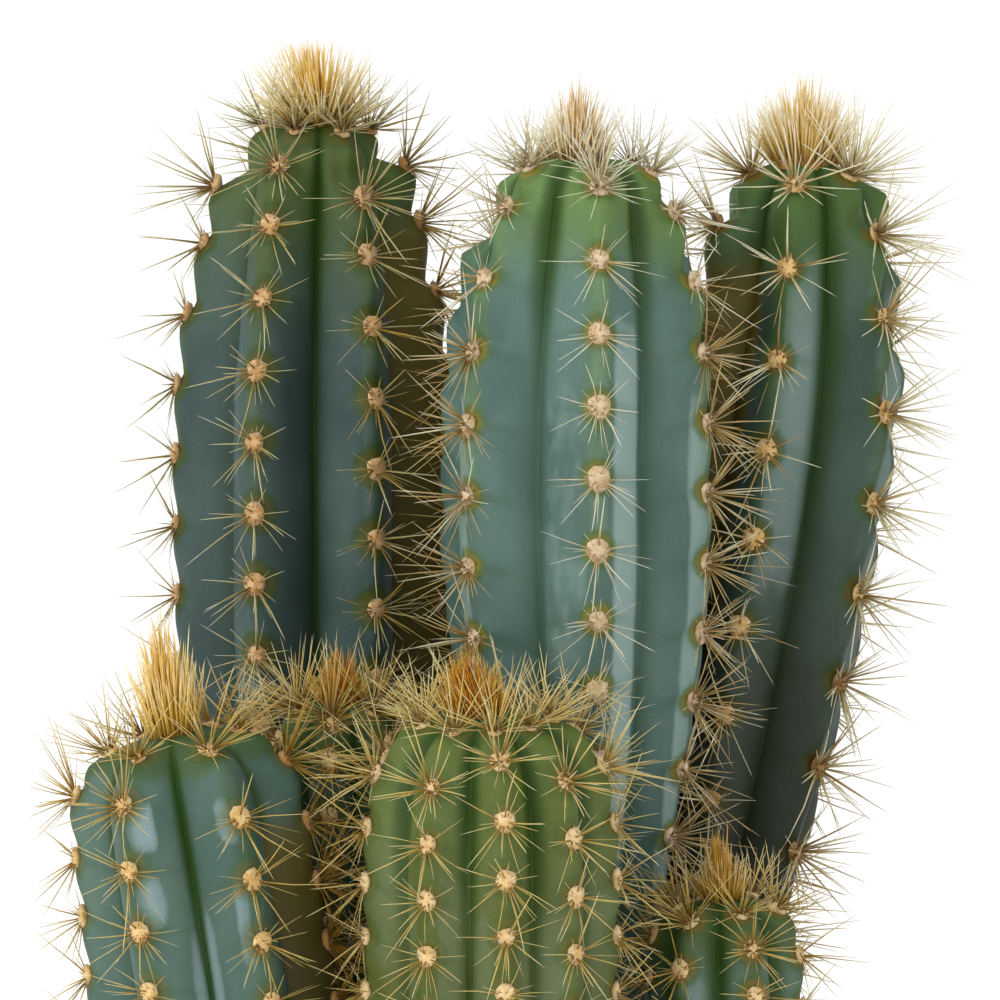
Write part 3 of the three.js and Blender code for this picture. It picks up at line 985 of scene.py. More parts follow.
@dataclass(frozen=True)
class Soil:
    """The heaped soil in the pot, with the grit that lies on it.

    Attributes:
        pot: the pot that it fills.
        top: its height above the floor.
        relief: height of the waves of its top.
        gap: room between it and the pot's wall.
        crumb: height of the crumbs.
        rings: rings of points on its top.
        sides: points in a ring.
        grains: how many bits of bark lie on it.
        seed: seed of its scatter.
    """

    pot: Pot
    top: float = 0.133
    relief: float = 0.0013
    gap: float = 0.0007
    crumb: float = 0.0009
    rings: int = 56
    sides: int = 180
    grains: int = 1100
    seed: int = 41

    def height(self, x: Array, y: Array) -> Array:
        """Height of the heaped soil.

        A few crossed sine waves of 1.3 mm, which die out at the pot's wall with the fourth power of the
        distance from its middle.

        Args:
            x: places to the right.
            y: places to the back.

        Returns:
            Heights above the floor.
        """
        x, y = x * 1000.0, y * 1000.0
        waves = np.sin(x * 0.11 + 1.3) + np.cos(y * 0.13 - x * 0.05) + 0.6 * np.sin((x + y) * 0.21)
        fade = 1.0 - (np.hypot(x, y) / (1000.0 * self.pot.inner_rim)) ** 4
        return self.top + self.relief * waves * fade

    def wall_at(self, height: float) -> float:
        """Radius of the soil against the pot's wall at a height."""
        return lerp(self.pot.inner_foot, self.pot.inner_rim, height / self.pot.height) - self.gap

    def surface(self) -> Surface:
        """The soil's body.

        The top is a disc of rings at equal steps, raised to the heaped height plus crumbs of up to 0.9 mm
        (products of short sine waves with seeded noise); the side follows the pot's wall down to its floor.

        Returns:
            The closed body, with "tone" on its points.
        """
        rng = np.random.default_rng(self.seed)
        rim = self.wall_at(self.top - 0.004)
        turn = turns(self.sides)
        radius = rim * (np.arange(self.rings) + 1.0) / self.rings
        x = radius[:, None] * np.sin(turn)
        y = -radius[:, None] * np.cos(turn)
        crumbs = np.sin(x * 900.0 + 2.0 * np.sin(y * 410.0)) * np.cos(y * 760.0 + 2.0 * np.sin(x * 530.0))
        rough = 0.5 * crumbs + rng.uniform(-0.5, 0.5, x.shape)
        calm = (radius < rim * 0.99)[:, None]
        z = self.height(x, y) + self.crumb * rough * calm
        bottom = self.pot.floor + 0.00035
        side = [spun(self.wall_at(height), turn, height) for height in (0.100, 0.050)]
        side.append(spun(self.pot.inner_foot - 0.0047, turn, bottom))
        rings = np.concatenate([np.stack([x, y, z], axis=-1), side])
        head = np.array([[0.0, 0.0, float(self.height(np.array(0.0), np.array(0.0)))]])
        foot = np.array([[0.0, 0.0, bottom]])
        return sleeves(rings[None], head, foot, tone=rng.uniform(0.0, 0.5, (len(rings), self.sides)))

    def grit(self, count: int, smallest: float, largest: float, seed: int) -> Surface:
        """Small rounded stones that lie half sunk on the soil.

        Each is a ball of three rings of seven points, stretched by seeded factors, with every point
        moved in or out by up to a fifth.

        Args:
            count: how many.
            smallest: smallest radius.
            largest: largest radius.
            seed: seed of the scatter.

        Returns:
            All of them, with "tone" on their points.
        """
        rng = np.random.default_rng(seed)
        reach = (self.wall_at(self.top) - largest * 1.5) * np.sqrt(rng.uniform(0.0, 1.0, count))
        around = rng.uniform(0.0, 2.0 * np.pi, count)
        x, y = reach * np.sin(around), -reach * np.cos(around)
        size = lerp(smallest, largest, rng.uniform(0.0, 1.0, count) ** 2)
        centre = np.stack([x, y, self.height(x, y) + 0.25 * size], axis=-1)
        lift = np.radians([50.0, 0.0, -50.0])[:, None]
        ball = spun(np.cos(lift), turns(7), np.sin(lift))
        stretch = rng.uniform(0.65, 1.25, (count, 1, 1, 3)) * [1.0, 1.0, 0.75]
        wobble = rng.uniform(0.8, 1.1, (count, 3, 7, 1))
        rings = centre[:, None, None, :] + ball[None] * stretch * wobble * size[:, None, None, None]
        rise = np.stack([np.zeros(count), np.zeros(count), 0.72 * size], axis=-1)
        return sleeves(rings, centre + rise, centre - rise, tone=rng.uniform(0.0, 1.0, (count, 1, 1)))

    def build(self) -> list[bpy.types.Object]:
        """Makes the soil, its crumbs and its pale grit.

        Returns:
            The three objects.
        """
        body = self.surface().piece("potting_soil", EarthFinish().material("potting_soil"))
        bark = self.grit(self.grains, 0.0009, 0.0032, self.seed + 1)
        crumbs = bark.piece("soil_crumbs", BARK.material("bark"))
        pumice = self.grit(self.grains // 4, 0.0007, 0.0021, self.seed + 2)
        stones = pumice.piece("soil_grit", PUMICE.material("grit"))
        made = [body, crumbs, stones]
        for thing in made:
            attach(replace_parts(thing, "soil"), "root")
        return made


# ---- Columns


@dataclass(frozen=True)
class Areoles:
    """The areoles of a column, as arrays with one entry each.

    Attributes:
        point: places on the crests, (n, 3).
        normal: outward directions, (n, 3).
        along: directions up the rib, (n, 3).
        side: directions across the rib, (n, 3).
        size: factor on the areole's width, (n,).
        youth: 1 for the newest row, falling to 0 lower down, (n,).
        stain_and_shade: how brown the wool has turned, and its painted shade, (n,).
        rib: the rib it sits on, (n,).
    """

    point: Array
    normal: Array
    along: Array
    side: Array
    size: Array
    youth: Array
    stain_and_shade: Array
    rib: Array

    def only(self, chosen: Array) -> "Areoles":
        """The chosen ones."""
        return Areoles(*(getattr(self, one.name)[chosen] for one in fields(self)))

    def repeated(self, times: int) -> "Areoles":
        """Each of them several times in a row."""
        return self.only(np.repeat(np.arange(len(self.size)), times))


@dataclass(frozen=True)
class SpineKind:
    """One kind of spine of an areole.

    Attributes:
        around: angles from the upward direction, one for each spine.
        tilt: least and greatest lean away from the areole's normal.
        reach: least and greatest length, as shares of the central spines' length.
        girth: radius at the root.
    """

    around: tuple[float, ...]
    tilt: tuple[float, float]
    reach: tuple[float, float]
    girth: float


RADIAL = SpineKind((-78.0, 76.0, -108.0, 106.0, -136.0, 134.0, 168.0), (62.0, 86.0), (0.4, 0.85), 0.00018)
THIN = SpineKind((-48.0, 12.0, 52.0, -90.0, 145.0, 190.0), (50.0, 80.0), (0.25, 0.55), 0.00013)
CENTRAL = SpineKind((-8.0, 110.0, 155.0, 205.0, 250.0), (20.0, 62.0), (0.65, 1.15), 0.00025)
FRESH = SpineKind(tuple(range(0, 360, 30)), (20.0, 70.0), (0.7, 1.15), 0.00023)
DENSE = SpineKind(tuple(range(10, 360, 24)), (15.0, 78.0), (0.7, 1.25), 0.00024)


@dataclass(frozen=True)
class Frost:
    """A patch of thicker bloom on a rib.

    Attributes:
        rib: which rib.
        side: shares of the way from the crest to the groove that it covers, negative to the left.
        below: distances below the apex that it covers.
        amount: how thick it is.
    """

    rib: int
    side: tuple[float, float]
    below: tuple[float, float]
    amount: float = 1.0


@dataclass(frozen=True)
class Crown:
    """The tuft of young wool and spines on a column's apex.

    Attributes:
        width: radius of the woolly cushion.
        rise: its height.
        spines: how many spines it holds.
        length: length of the middle spines.
        lean: how far the outer ones lean out, in degrees.
        horn: their colours.
        wool: the cushion's colours.
        shift: how far to the right of the apex it sits.
        sunk: how far below the apex it sits.
        slant: how far its spines lean to the right, as a slope.
        fall: share of their length by which the outer spines are shorter.
        taper: power of the distance from the middle with which they get shorter.
        fan: power with which they lean out.
    """

    width: float
    rise: float
    spines: int
    length: float
    lean: float
    horn: Horn
    wool: Wool = Wool.CROWN
    shift: float = 0.0
    sunk: float = 0.0012
    slant: float = 0.0
    fall: float = 0.45
    taper: float = 1.3
    fan: float = 2.0


@dataclass(frozen=True)
class Column:
    """One ribbed column: where it stands, its form, its areoles and its finish.

    Attributes:
        name: which column it is.
        order: its number, which is added to the seed of its scatter.
        steering: control points of its axis, a cubic Bezier from foot to apex, with z above the soil.
        radius: crest radius of the full width.
        foot: crest radius at the foot.
        groove: depth of the grooves as a share of the radius.
        narrow: distances below the apex over which the column tapers to its foot.
        ribs: angles of the crests.
        tip: distance of the first areoles below the apex.
        second: distance of the second ones.
        pitch: distance from one to the next after that.
        lag: how much lower the areoles of the low ribs sit, in pitches.
        spine: length of the central spines.
        skin: which skin it has.
        horn: colours of its spines.
        wool: colours of its areoles.
        crown: its tuft.
        swell: how far the crest swells at an areole.
        shoulder: share of the radius at the top of the shoulder, and its reach in radii.
        low: the low ribs.
        ring_ribs: the ribs that have an extra small areole near the apex.
        ring: distance of the extra areoles below the apex.
        stair: how far the shoulder is stepped at the areoles, from 0 to 1.
        shelf: how far down the first step looks for its radius, from 0 to 1.
        fold_depth: depth of the narrow fold in the grooves.
        crease_depth: depth of the shallow creases.
        crease_drop: how much lower a crease meets the groove than the crest.
        wave: height of the slow waves of the skin.
        seams: how strong the fold and its painted shade to the right of each rib are, 1 for all if left out.
        turned: how far beside the crest the areoles of each rib sit, in degrees.
        extra: how much further out than the rest each rib stands.
        drawn: share of the radius that each rib is drawn in by at the top.
        gilt: how golden and how much denser the spines of each rib are, from 0 to 1.
        bushy: the ribs whose spines are denser without being golden.
        girth: factor on the thickness of the spines.
        pad: factor on the size of the areoles.
        frosts: the powdery patches.
        shelter: sides painted with shade in an olive-brown tint: least and greatest angle and how much.
        dim: sides darkened with painted shade, in the same way.
        soil: height of the soil above the floor.
        buried: length of the foot under the soil.
        dome: height of its rounded top in radii, and the power of that superellipse.
        rounding: how round the crests are.
        cork_groove: share of the grooves' depth that is left at the corky foot.
        bare_foot: height above the soil that has no areoles.
        row_step: distance from one ring of the skin's points to the next.
        half_rib: points of a ring from a crest to its groove.
    """

    name: str
    order: int
    steering: tuple[Place, ...]
    radius: float
    foot: float
    groove: float
    narrow: tuple[float, float]
    ribs: tuple[float, ...]
    tip: float
    second: float
    pitch: float
    lag: float
    spine: float
    skin: Complexion
    horn: Horn
    wool: Wool
    crown: Crown
    swell: float = 0.0005
    shoulder: tuple[float, float] = (0.9, 1.2)
    low: tuple[int, ...] = ODD
    ring_ribs: tuple[int, ...] = ALL_SIX
    ring: float = 0.002
    stair: float = 0.3
    shelf: float = 0.5
    fold_depth: float = 0.0004
    crease_depth: float = 0.0005
    crease_drop: float = 0.0045
    wave: float = 0.0003
    seams: tuple[float, ...] = ()
    turned: tuple[float, ...] = ()
    extra: tuple[float, ...] = ()
    drawn: tuple[float, ...] = ()
    gilt: tuple[float, ...] = ()
    bushy: tuple[int, ...] = ()
    girth: float = 1.0
    pad: float = 1.0
    frosts: tuple[Frost, ...] = ()
    shelter: tuple[Stretch, ...] = ()
    dim: tuple[Stretch, ...] = ()
    soil: float = 0.133
    buried: float = 0.030
    dome: tuple[float, float] = (0.65, 2.5)
    rounding: float = 0.25
    cork_groove: float = 0.3
    bare_foot: float = 0.008
    row_step: float = 0.0012
    half_rib: int = 11

    # -- The axis

    @cached_property
    def path(self) -> tuple[Array, Array, Array]:
        """The axis as a table.

        The cubic Bezier is sampled at 481 evenly spaced values of its parameter, and the lengths of the
        chords are summed to give the distance travelled.

        Returns:
            Distances below the apex in rising order, the points there and the unit directions upwards.
        """
        control = np.array(self.steering) + [0.0, 0.0, self.soil]
        t = np.linspace(1.0, 0.0, 481)[:, None]
        weights = np.concatenate([(1 - t) ** 3, 3 * t * (1 - t) ** 2, 3 * t**2 * (1 - t), t**3], axis=1)
        points = weights @ control
        slopes = np.concatenate([(1 - t) ** 2, 2 * t * (1 - t), t**2], axis=1) @ np.diff(control, axis=0)
        travelled = np.concatenate([[0.0], np.cumsum(np.linalg.norm(np.diff(points, axis=0), axis=1))])
        return travelled, points, unit(slopes)

    @property
    def length(self) -> float:
        """Length of the axis, with the buried foot."""
        return float(self.path[0][-1])

    @property
    def soil_line(self) -> float:
        """Distance from the apex down to the soil."""
        return self.length - self.buried

    def frame_at(self, below: Array) -> tuple[Array, Array, Array, Array]:
        """The axis and its cross directions.

        right is the x axis made square to the axis, and back is up x right.

        Args:
            below: distances below the apex.

        Returns:
            Centre, up, right and back, each of the shape of below with a last axis of 3.
        """
        travelled, *tables = self.path
        centre, up = (
            np.stack([np.interp(below, travelled, row) for row in table.T], axis=-1) for table in tables
        )
        up = unit(up)
        right = unit(np.array([1.0, 0.0, 0.0]) - up[..., :1] * up)
        return centre, up, right, np.cross(up, right)

    # -- The form

    def crest_radius(self, below: Array) -> Array:
        """Radius of the crests.

        radius * dome * shoulder * taper: the dome is the superellipse (1 - (1 - rise)^p)^(1/p), the
        shoulder and the taper are smooth steps.

        Args:
            below: distances below the apex.

        Returns:
            The radii.
        """
        height, power = self.dome
        rise = np.clip(below / (height * self.radius), 0.0, 1.0)
        dome = (1.0 - (1.0 - rise) ** power) ** (1.0 / power)
        share, reach = self.shoulder
        shoulder = lerp(share, 1.0, smoothstep(below, 0.0, reach * self.radius))
        taper = lerp(1.0, self.foot / self.radius, smoothstep(below, *self.narrow))
        return self.radius * dome * shoulder * taper

    def cork(self, below: Array) -> Array:
        """How far the old corky foot has set in, from 0 to 1."""
        return smoothstep(below, self.narrow[1] - 0.050, self.soil_line)

    def radius_at(self, below: Array, across: Array) -> Array:
        """Radius of the skin across a rib.

        A hyperbola, round at the crest (0) and nearly straight down to the groove (1):
        fall = (hypot(t, e) - e) / (hypot(1, e) - e), and the radius loses that share of the groove depth.

        Args:
            below: distances below the apex.
            across: share of the way from crest to groove.

        Returns:
            The radii.
        """
        e = self.rounding
        fall = (np.hypot(across, e) - e) / (math.hypot(1.0, e) - e)
        depth = self.groove * lerp(1.0, self.cork_groove, self.cork(below))
        return self.crest_radius(below) * (1.0 - depth * fall)

    def point(self, below: Array, angle: Array, radius: Array) -> Array:
        """Points at a radius from the axis: centre + right * r * sin a - back * r * cos a.

        Args:
            below: distances below the apex.
            angle: angles round the column.
            radius: distances from its axis.

        Returns:
            The points, with a last axis of 3.
        """
        centre, _, right, back = self.frame_at(below)
        turn = np.radians(angle)[..., None]
        reach = np.asarray(radius)[..., None]
        return centre + right * reach * np.sin(turn) - back * reach * np.cos(turn)

    def each(self, amounts: tuple[float, ...], usual: float = 0.0) -> Array:
        """One amount for each rib: those given, or the usual one for all."""
        return np.array(amounts or (usual,) * len(self.ribs))

    @property
    def crests(self) -> Array:
        """Angles of the crests, closed with the first one after a full turn."""
        return np.array([*self.ribs, self.ribs[0] + 360.0])

    def sector(self, angle: Array) -> tuple[Array, Array]:
        """The nearest rib and the signed share of the way from its crest to the groove on that side.

        Args:
            angle: angles round the column.

        Returns:
            Rib numbers, and shares that are negative to the left of the crest.
        """
        crests = self.crests
        around = crests[0] + (angle - crests[0]) % 360.0
        i = np.clip(np.searchsorted(crests, around, side="right") - 1, 0, len(self.ribs) - 1)
        share = (around - crests[i]) / (crests[i + 1] - crests[i])
        past = share > 0.5
        return (i + past) % len(self.ribs), np.where(past, -2.0 * (1.0 - share), 2.0 * share)

    def room(self, points: Array) -> Array:
        """How far points are outside the skin, measured from the axis; negative inside.

        The distance below the apex comes from the height and one correction along the axis.

        Args:
            points: places, with a last axis of 3.

        Returns:
            The distances.
        """
        travelled, table, _ = self.path
        below = np.interp(points[..., 2], table[::-1, 2], travelled[::-1])
        over = points[..., 2] - table[0, 2]
        centre, up, _, _ = self.frame_at(below)
        below = np.clip(below - dot(points - centre, up), 0.0, self.length)
        centre, _, right, back = self.frame_at(below)
        offset = points - centre
        x, y = dot(offset, right), -dot(offset, back)
        _, across = self.sector(np.degrees(np.arctan2(x, y)))
        inside = np.hypot(x, y) - self.radius_at(below, np.abs(across))
        return np.where(over > 0.0, np.maximum(inside, over), inside)

    # -- The skin

    def areole_below(self, rib: Array, number: Array) -> Array:
        """Distance below the apex of the numbered areoles of the ribs."""
        step = np.isin(rib, self.low) * self.lag * self.pitch
        return np.where(number == 0, self.tip, self.second + (number - 1) * self.pitch) + step

    def knots(self, rib: int) -> Array:
        """Distances below the apex of all that a rib carries: its apex or ring areole, then the others.

        Args:
            rib: the rib's number.

        Returns:
            The distances in rising order.
        """
        numbers = np.arange(int(self.length / self.pitch) + 3)
        start = self.ring if rib in self.ring_ribs else 0.0
        return np.concatenate([[start], self.areole_below(np.full(len(numbers), rib), numbers)])

    def phase(self, below: Array, rib: Array) -> tuple[Array, Array, Array]:
        """Where places lie between the areole above (0) and the next one down (1).

        Args:
            below: distances below the apex, of shape (rows, columns).
            rib: the rib of each column, of shape (1, columns).

        Returns:
            The shares, the spacings and the numbers of these stretches, of shape (rows, columns).
        """
        share, spacing, stretch = (np.zeros(below.shape) for _ in range(3))
        for number in range(len(self.ribs)):
            knots = self.knots(number)
            own = rib[0] == number
            place = below[:, own]
            i = np.clip(np.searchsorted(knots, place, side="right") - 1, 0, len(knots) - 2)
            spacing[:, own] = knots[i + 1] - knots[i]
            share[:, own] = np.clip((place - knots[i]) / spacing[:, own], 0.0, 1.0)
            stretch[:, own] = i
        return share, spacing, stretch

    def spokes(self) -> tuple[Array, Array, Array]:
        """The angles at which the skin has points.

        On each side of a crest the shares are (1 - cos(pi k / n)) / 2, close together at the crest and at
        the groove.

        Returns:
            Angles in rising order, the rib of each and its signed share from the crest.
        """
        shares = (1.0 - np.cos(np.pi * np.arange(self.half_rib) / self.half_rib)) / 2.0
        gaps = np.diff(self.crests)[:, None]
        after = self.crests[:-1, None] + gaps * shares[None] / 2.0
        before = self.crests[1:, None] - gaps * (1.0 - shares[None]) / 2.0
        count = len(self.ribs)
        rib = np.repeat(np.arange(count)[:, None], self.half_rib, axis=1)
        right = np.broadcast_to(shares, rib.shape)
        left = -np.broadcast_to(1.0 - shares, rib.shape)
        angles = np.concatenate([after, before], axis=1).ravel()
        ribs = np.concatenate([rib, (rib + 1) % count], axis=1).ravel()
        return angles, ribs, np.concatenate([right, left], axis=1).ravel()

    def rows(self) -> Array:
        """Distances below the apex at which the skin has rings.

        On the dome they grow with the square of their number, and go on in equal steps to just under the
        soil; the last two reach the end of the buried foot.

        Returns:
            The distances in rising order.
        """
        cap = self.dome[0] * self.radius
        top = cap * (np.arange(1, 15) / 14.0) ** 2
        bottom = self.soil_line + 0.002
        body = np.linspace(cap, bottom, int((bottom - cap) / self.row_step))[1:]
        return np.concatenate([top, body, [self.soil_line + 0.012, self.length]])

    def frost(self, below: Array, rib: Array, side: Array) -> Array:
        """How much powdery bloom lies where: each patch is a box of smooth steps on its rib.

        Args:
            below: distances below the apex.
            rib: the nearest ribs.
            side: signed shares of the way to the groove.

        Returns:
            The amounts.
        """
        total = np.zeros(np.broadcast_shapes(below.shape, side.shape))
        for patch in self.frosts:
            top, bottom = patch.below
            wide = window(side, *patch.side, 0.06)
            tall = window(below, top, bottom, min(0.011, 0.28 * (bottom - top)))
            total = np.maximum(total, patch.amount * wide * tall * (rib == patch.rib))
        return total

    @staticmethod
    def sides(angle: Array, stretches: tuple[Stretch, ...]) -> Array:
        """The amounts of stretches of angle, each falling to 0 over 14 degrees at both its ends.

        Args:
            angle: angles round the column.
            stretches: least angle, greatest angle and amount of each.

        Returns:
            The largest amount at each angle.
        """
        total = np.zeros(angle.shape)
        for start, end, amount in stretches:
            # The same angle, counted from 40 degrees before the start of the stretch.
            near = start + (angle - start + 40.0) % 360.0 - 40.0
            total = np.maximum(total, amount * window(near, start, end, 7.0))
        return total

    def skin_surface(self) -> Surface:
        """The ribbed skin.

        The crest radius is taken at a distance that jumps at each areole and stands still between two,
        which steps the shoulder. Over it go: a swelling of the crest, a chin below each areole and a notch
        above it; a shallow crease that runs from the notch down to the groove; a narrow fold in the groove;
        and slow sine waves of 0.3 mm.

        Returns:
            The closed skin with the values that its finish reads.
        """
        angle, rib, side = (values[None, :] for values in self.spokes())
        below = np.broadcast_to(self.rows()[:, None], (len(self.rows()), angle.shape[1]))
        across = np.abs(side)
        phase, spacing, stretch = self.phase(below, rib)
        slanted = self.phase(np.maximum(below - self.crease_drop * across, 0.0), rib)[0]
        crestward = 1.0 - smoothstep(across, 0.25, 1.0)
        level = np.where(stretch == 0, self.shelf, 0.5)
        flight = level * smoothstep(phase, 0.0, 0.2) + (1.0 - level) * smoothstep(phase, 0.84, 1.0)
        held = spacing * (flight - phase) * self.stair * crestward
        rise = smoothstep(phase, 0.0, 0.2) - 2.0 * smoothstep(phase, 0.3, 0.88) + smoothstep(phase, 0.88, 1.0)
        crease = bell(slanted, 0.9, 0.07) * (1.0 - across) * smoothstep(across, 0.0, 0.15)
        old = self.cork(below)
        settle = smoothstep(below, 0.002, 0.008) * smoothstep(-below, -self.soil_line, 0.01 - self.soil_line)
        bumps = self.swell * rise * (1.0 - smoothstep(across, 0.04, 0.5))
        slow = np.sin(below * 95.0 + rib * 1.7 + self.order) * np.cos(below * 37.0 + side * 2.0)
        relief = settle * (bumps - self.crease_depth * crease * (1.0 - old) + self.wave * slow)
        seams = self.each(self.seams, 1.0)
        seam = np.where(side < 0.0, np.roll(seams, 1)[rib], seams[rib])
        relief = relief - self.fold_depth * seam * settle * bell(across, 1.0, 0.05) * (1.0 - old)
        relief = relief + self.outset(below, rib) * (1.0 - smoothstep(across, 0.1, 1.0))
        radius = self.radius_at(below + held, across) * self.drawing(below + held, angle) + relief
        points = self.point(below, np.broadcast_to(angle, below.shape), radius)
        areoles = self.areoles()
        near = np.ones(below.shape)
        for number in range(len(self.ribs)):
            own = rib[0] == number
            seats = (areoles.point + 0.0005 * areoles.along)[areoles.rib == number]
            near[:, own] = np.linalg.norm(points[:, own, None] - seats, axis=-1).min(axis=-1) / self.pad
        centre = self.frame_at(np.array([0.0, self.length]))[0]
        return sleeves(
            points[None], centre[:1], centre[1:], across=across, below=below, near=near,
            crease=crease, cork=old, seam=seam, frost=self.frost(below, rib, side),
            # Painted shade on the sides that face the neighbouring columns, and on the darkened sides.
            shelter=self.sides(angle, self.shelter) * smoothstep(below, 0.008, 0.04),
            dim=self.sides(angle, self.dim) * smoothstep(below, 0.008, 0.06),
        )

    def outset(self, below: Array, rib: Array) -> Array:
        """How much further out a rib stands than the rest.

        It grows in below the shoulder, doubles by 160 mm and fades out over the last 60 mm above the soil.

        Args:
            below: distances below the apex.
            rib: rib numbers.

        Returns:
            The distances outwards.
        """
        growth = smoothstep(below, 0.02, 0.07) + smoothstep(below, 0.1, 0.16)
        foot = smoothstep(below, self.soil_line - 0.06, self.soil_line)
        return self.each(self.extra)[rib] * growth * (1.0 - foot)

    def drawing(self, below: Array, angle: Array) -> Array:
        """Factor on the radius that draws the top in: each rib's share, gone by 30 mm below the apex.

        Args:
            below: distances below the apex.
            angle: angles round the column.

        Returns:
            The factors.
        """
        shares = self.each(self.drawn)
        start = self.crests[0]
        share = np.interp(start + (angle - start) % 360.0, self.crests, [*shares, shares[0]])
        return 1.0 - share * (1.0 - smoothstep(below, 0.010, 0.030))

    # -- Areoles and spines

    def areoles(self) -> Areoles:
        """Every areole clear of the soil.

        Its normal leans up by the slope of the crest and aside by that of the flank if it sits beside the
        crest; the side is up x normal and along is normal x side.

        Returns:
            The areoles, from the top down.
        """
        count = int(self.length / self.pitch) + 2
        ribs = len(self.ribs)
        number, rib = np.repeat(np.arange(count), ribs), np.tile(np.arange(ribs), count)
        ring = len(self.ring_ribs)
        size = self.pad * np.concatenate([np.full(ring, 0.75), np.ones(len(rib))])
        youth = np.concatenate([np.ones(ring), smoothstep(-number.astype(float), -2.0, 0.0)])
        below = np.concatenate([np.full(ring, self.ring), self.areole_below(rib, number)])
        rib = np.concatenate([np.array(self.ring_ribs, dtype=int), rib])
        angle = np.array(self.ribs)[rib] + self.each(self.turned)[rib]
        radius = self.crest_at(below, angle) * self.drawing(below, angle) + self.outset(below, rib) - 0.0002
        point = self.point(below, angle, radius)
        _, up, right, back = self.frame_at(below)
        out = swing(-back, right, np.radians(angle))
        forward = swing(right, back, np.radians(angle))
        drop, swerve = 0.001, 2.0
        lower, upper = self.crest_radius(below + drop), self.crest_radius(np.maximum(below - drop, 0.0))
        slope = (lower - upper) / (2.0 * drop)
        after, before = self.crest_at(below, angle + swerve), self.crest_at(below, angle - swerve)
        fall = (after - before) / (radius * math.radians(2.0 * swerve))
        normal = unit(out + up * np.clip(slope, 0.0, 3.0)[:, None] - forward * fall[:, None])
        side = unit(np.cross(up, normal))
        # Stain of the old wool and painted shade: low down the column and on the sides that face the
        # neighbours.
        painted_low_shade = self.skin.value.painted_low_shade * smoothstep(below, 0.03, 0.19)
        stain_and_shade = np.maximum(self.sides(angle, self.shelter) * 0.8, painted_low_shade)
        keep = point[:, 2] > self.soil + self.bare_foot
        return Areoles(point, normal, np.cross(normal, side), side, size, youth, stain_and_shade, rib).only(keep)

    def crest_at(self, below: Array, angle: Array) -> Array:
        """Radius of the skin at distances below the apex and angles round the column."""
        return self.radius_at(below, np.abs(self.sector(angle)[1]))

    def pads(self, areoles: Areoles, rng: np.random.Generator) -> Surface:
        """The felted pads of the areoles.

        Each is a low oval cushion of five rings of ten points: at ring angle a the width and length are
        cos a, and the height is sin a, of the pad's half-axes; it is a fifth wider at the top than at the
        bottom, and every point moves by up to a tenth.

        Args:
            areoles: where they sit.
            rng: source of the small differences.

        Returns:
            All the pads, with "tone" on their points.
        """
        count = len(areoles.size)
        lift = np.radians([64.0, 40.0, 17.0, -8.0, -34.0])
        turn = turns(10)
        wobble = rng.uniform(0.88, 1.1, (count, 5, 10))
        size = areoles.size * rng.uniform(0.9, 1.1, count)
        scale = size[:, None, None] * wobble
        wide = PAD[0] * np.cos(lift)[None, :, None] * np.cos(turn) * (1.0 + 0.2 * np.sin(turn)) * scale
        tall = PAD[1] * np.cos(lift)[None, :, None] * np.sin(turn) * scale
        high = PAD[2] * np.sin(lift)[None, :, None] * scale + 0.0002
        rings = (
            areoles.point[:, None, None, :] + areoles.side[:, None, None, :] * wide[..., None]
            + areoles.along[:, None, None, :] * tall[..., None]
            + areoles.normal[:, None, None, :] * high[..., None]
        )
        peak = areoles.point + areoles.normal * (0.0014 * size)[:, None]
        base = areoles.point - areoles.normal * 0.0016
        # Random tone, plus the stain and painted shade of the old wool.
        tone = rng.uniform(0.0, 0.55, count) + 1.2 * areoles.stain_and_shade
        return sleeves(rings, peak, base, tone=tone[:, None, None])

    def fluff(self, areoles: Areoles, rng: np.random.Generator, each: int = 20) -> Surface:
        """Short loose hairs on the pads: three-sided cones that stand on the cushion and point outwards.

        Args:
            areoles: where they sit.
            rng: source of the scatter.
            each: hairs on one pad.

        Returns:
            All the hairs, with "tone" on their points.
        """
        seat = areoles.repeated(each)
        total = len(seat.size)
        reach = np.sqrt(rng.uniform(0.0, 1.0, total))
        around = rng.uniform(0.0, 2.0 * np.pi, total)
        wide, tall = PAD[0] * np.cos(around), PAD[1] * np.sin(around)
        flat = seat.side * wide[:, None] + seat.along * tall[:, None]
        height = 0.0011 * np.sqrt(np.maximum(1.0 - reach**2, 0.0))
        root = seat.point + flat * (reach * seat.size)[:, None] + seat.normal * (height * seat.size)[:, None]
        lean = flat / 0.0026 * (0.3 + 0.9 * reach)[:, None]
        way = unit(seat.normal + lean + rng.normal(0.0, 0.25, (total, 3)))
        # Their tone carries the pad's stain and painted shade.
        hairs = Bristles(
            root, way, rng.uniform(0.0008, 0.0019, total), np.full(total, 0.00013),
            rng.normal(0.0, 0.0002, (total, 3)), rng.uniform(0.0, 0.55, total) + 1.2 * seat.stain_and_shade,
        )
        made = hairs.surface(rows=(0.0,))
        return Surface(made.points, made.quads, made.triangles, {"tone": made.values["tone"]})

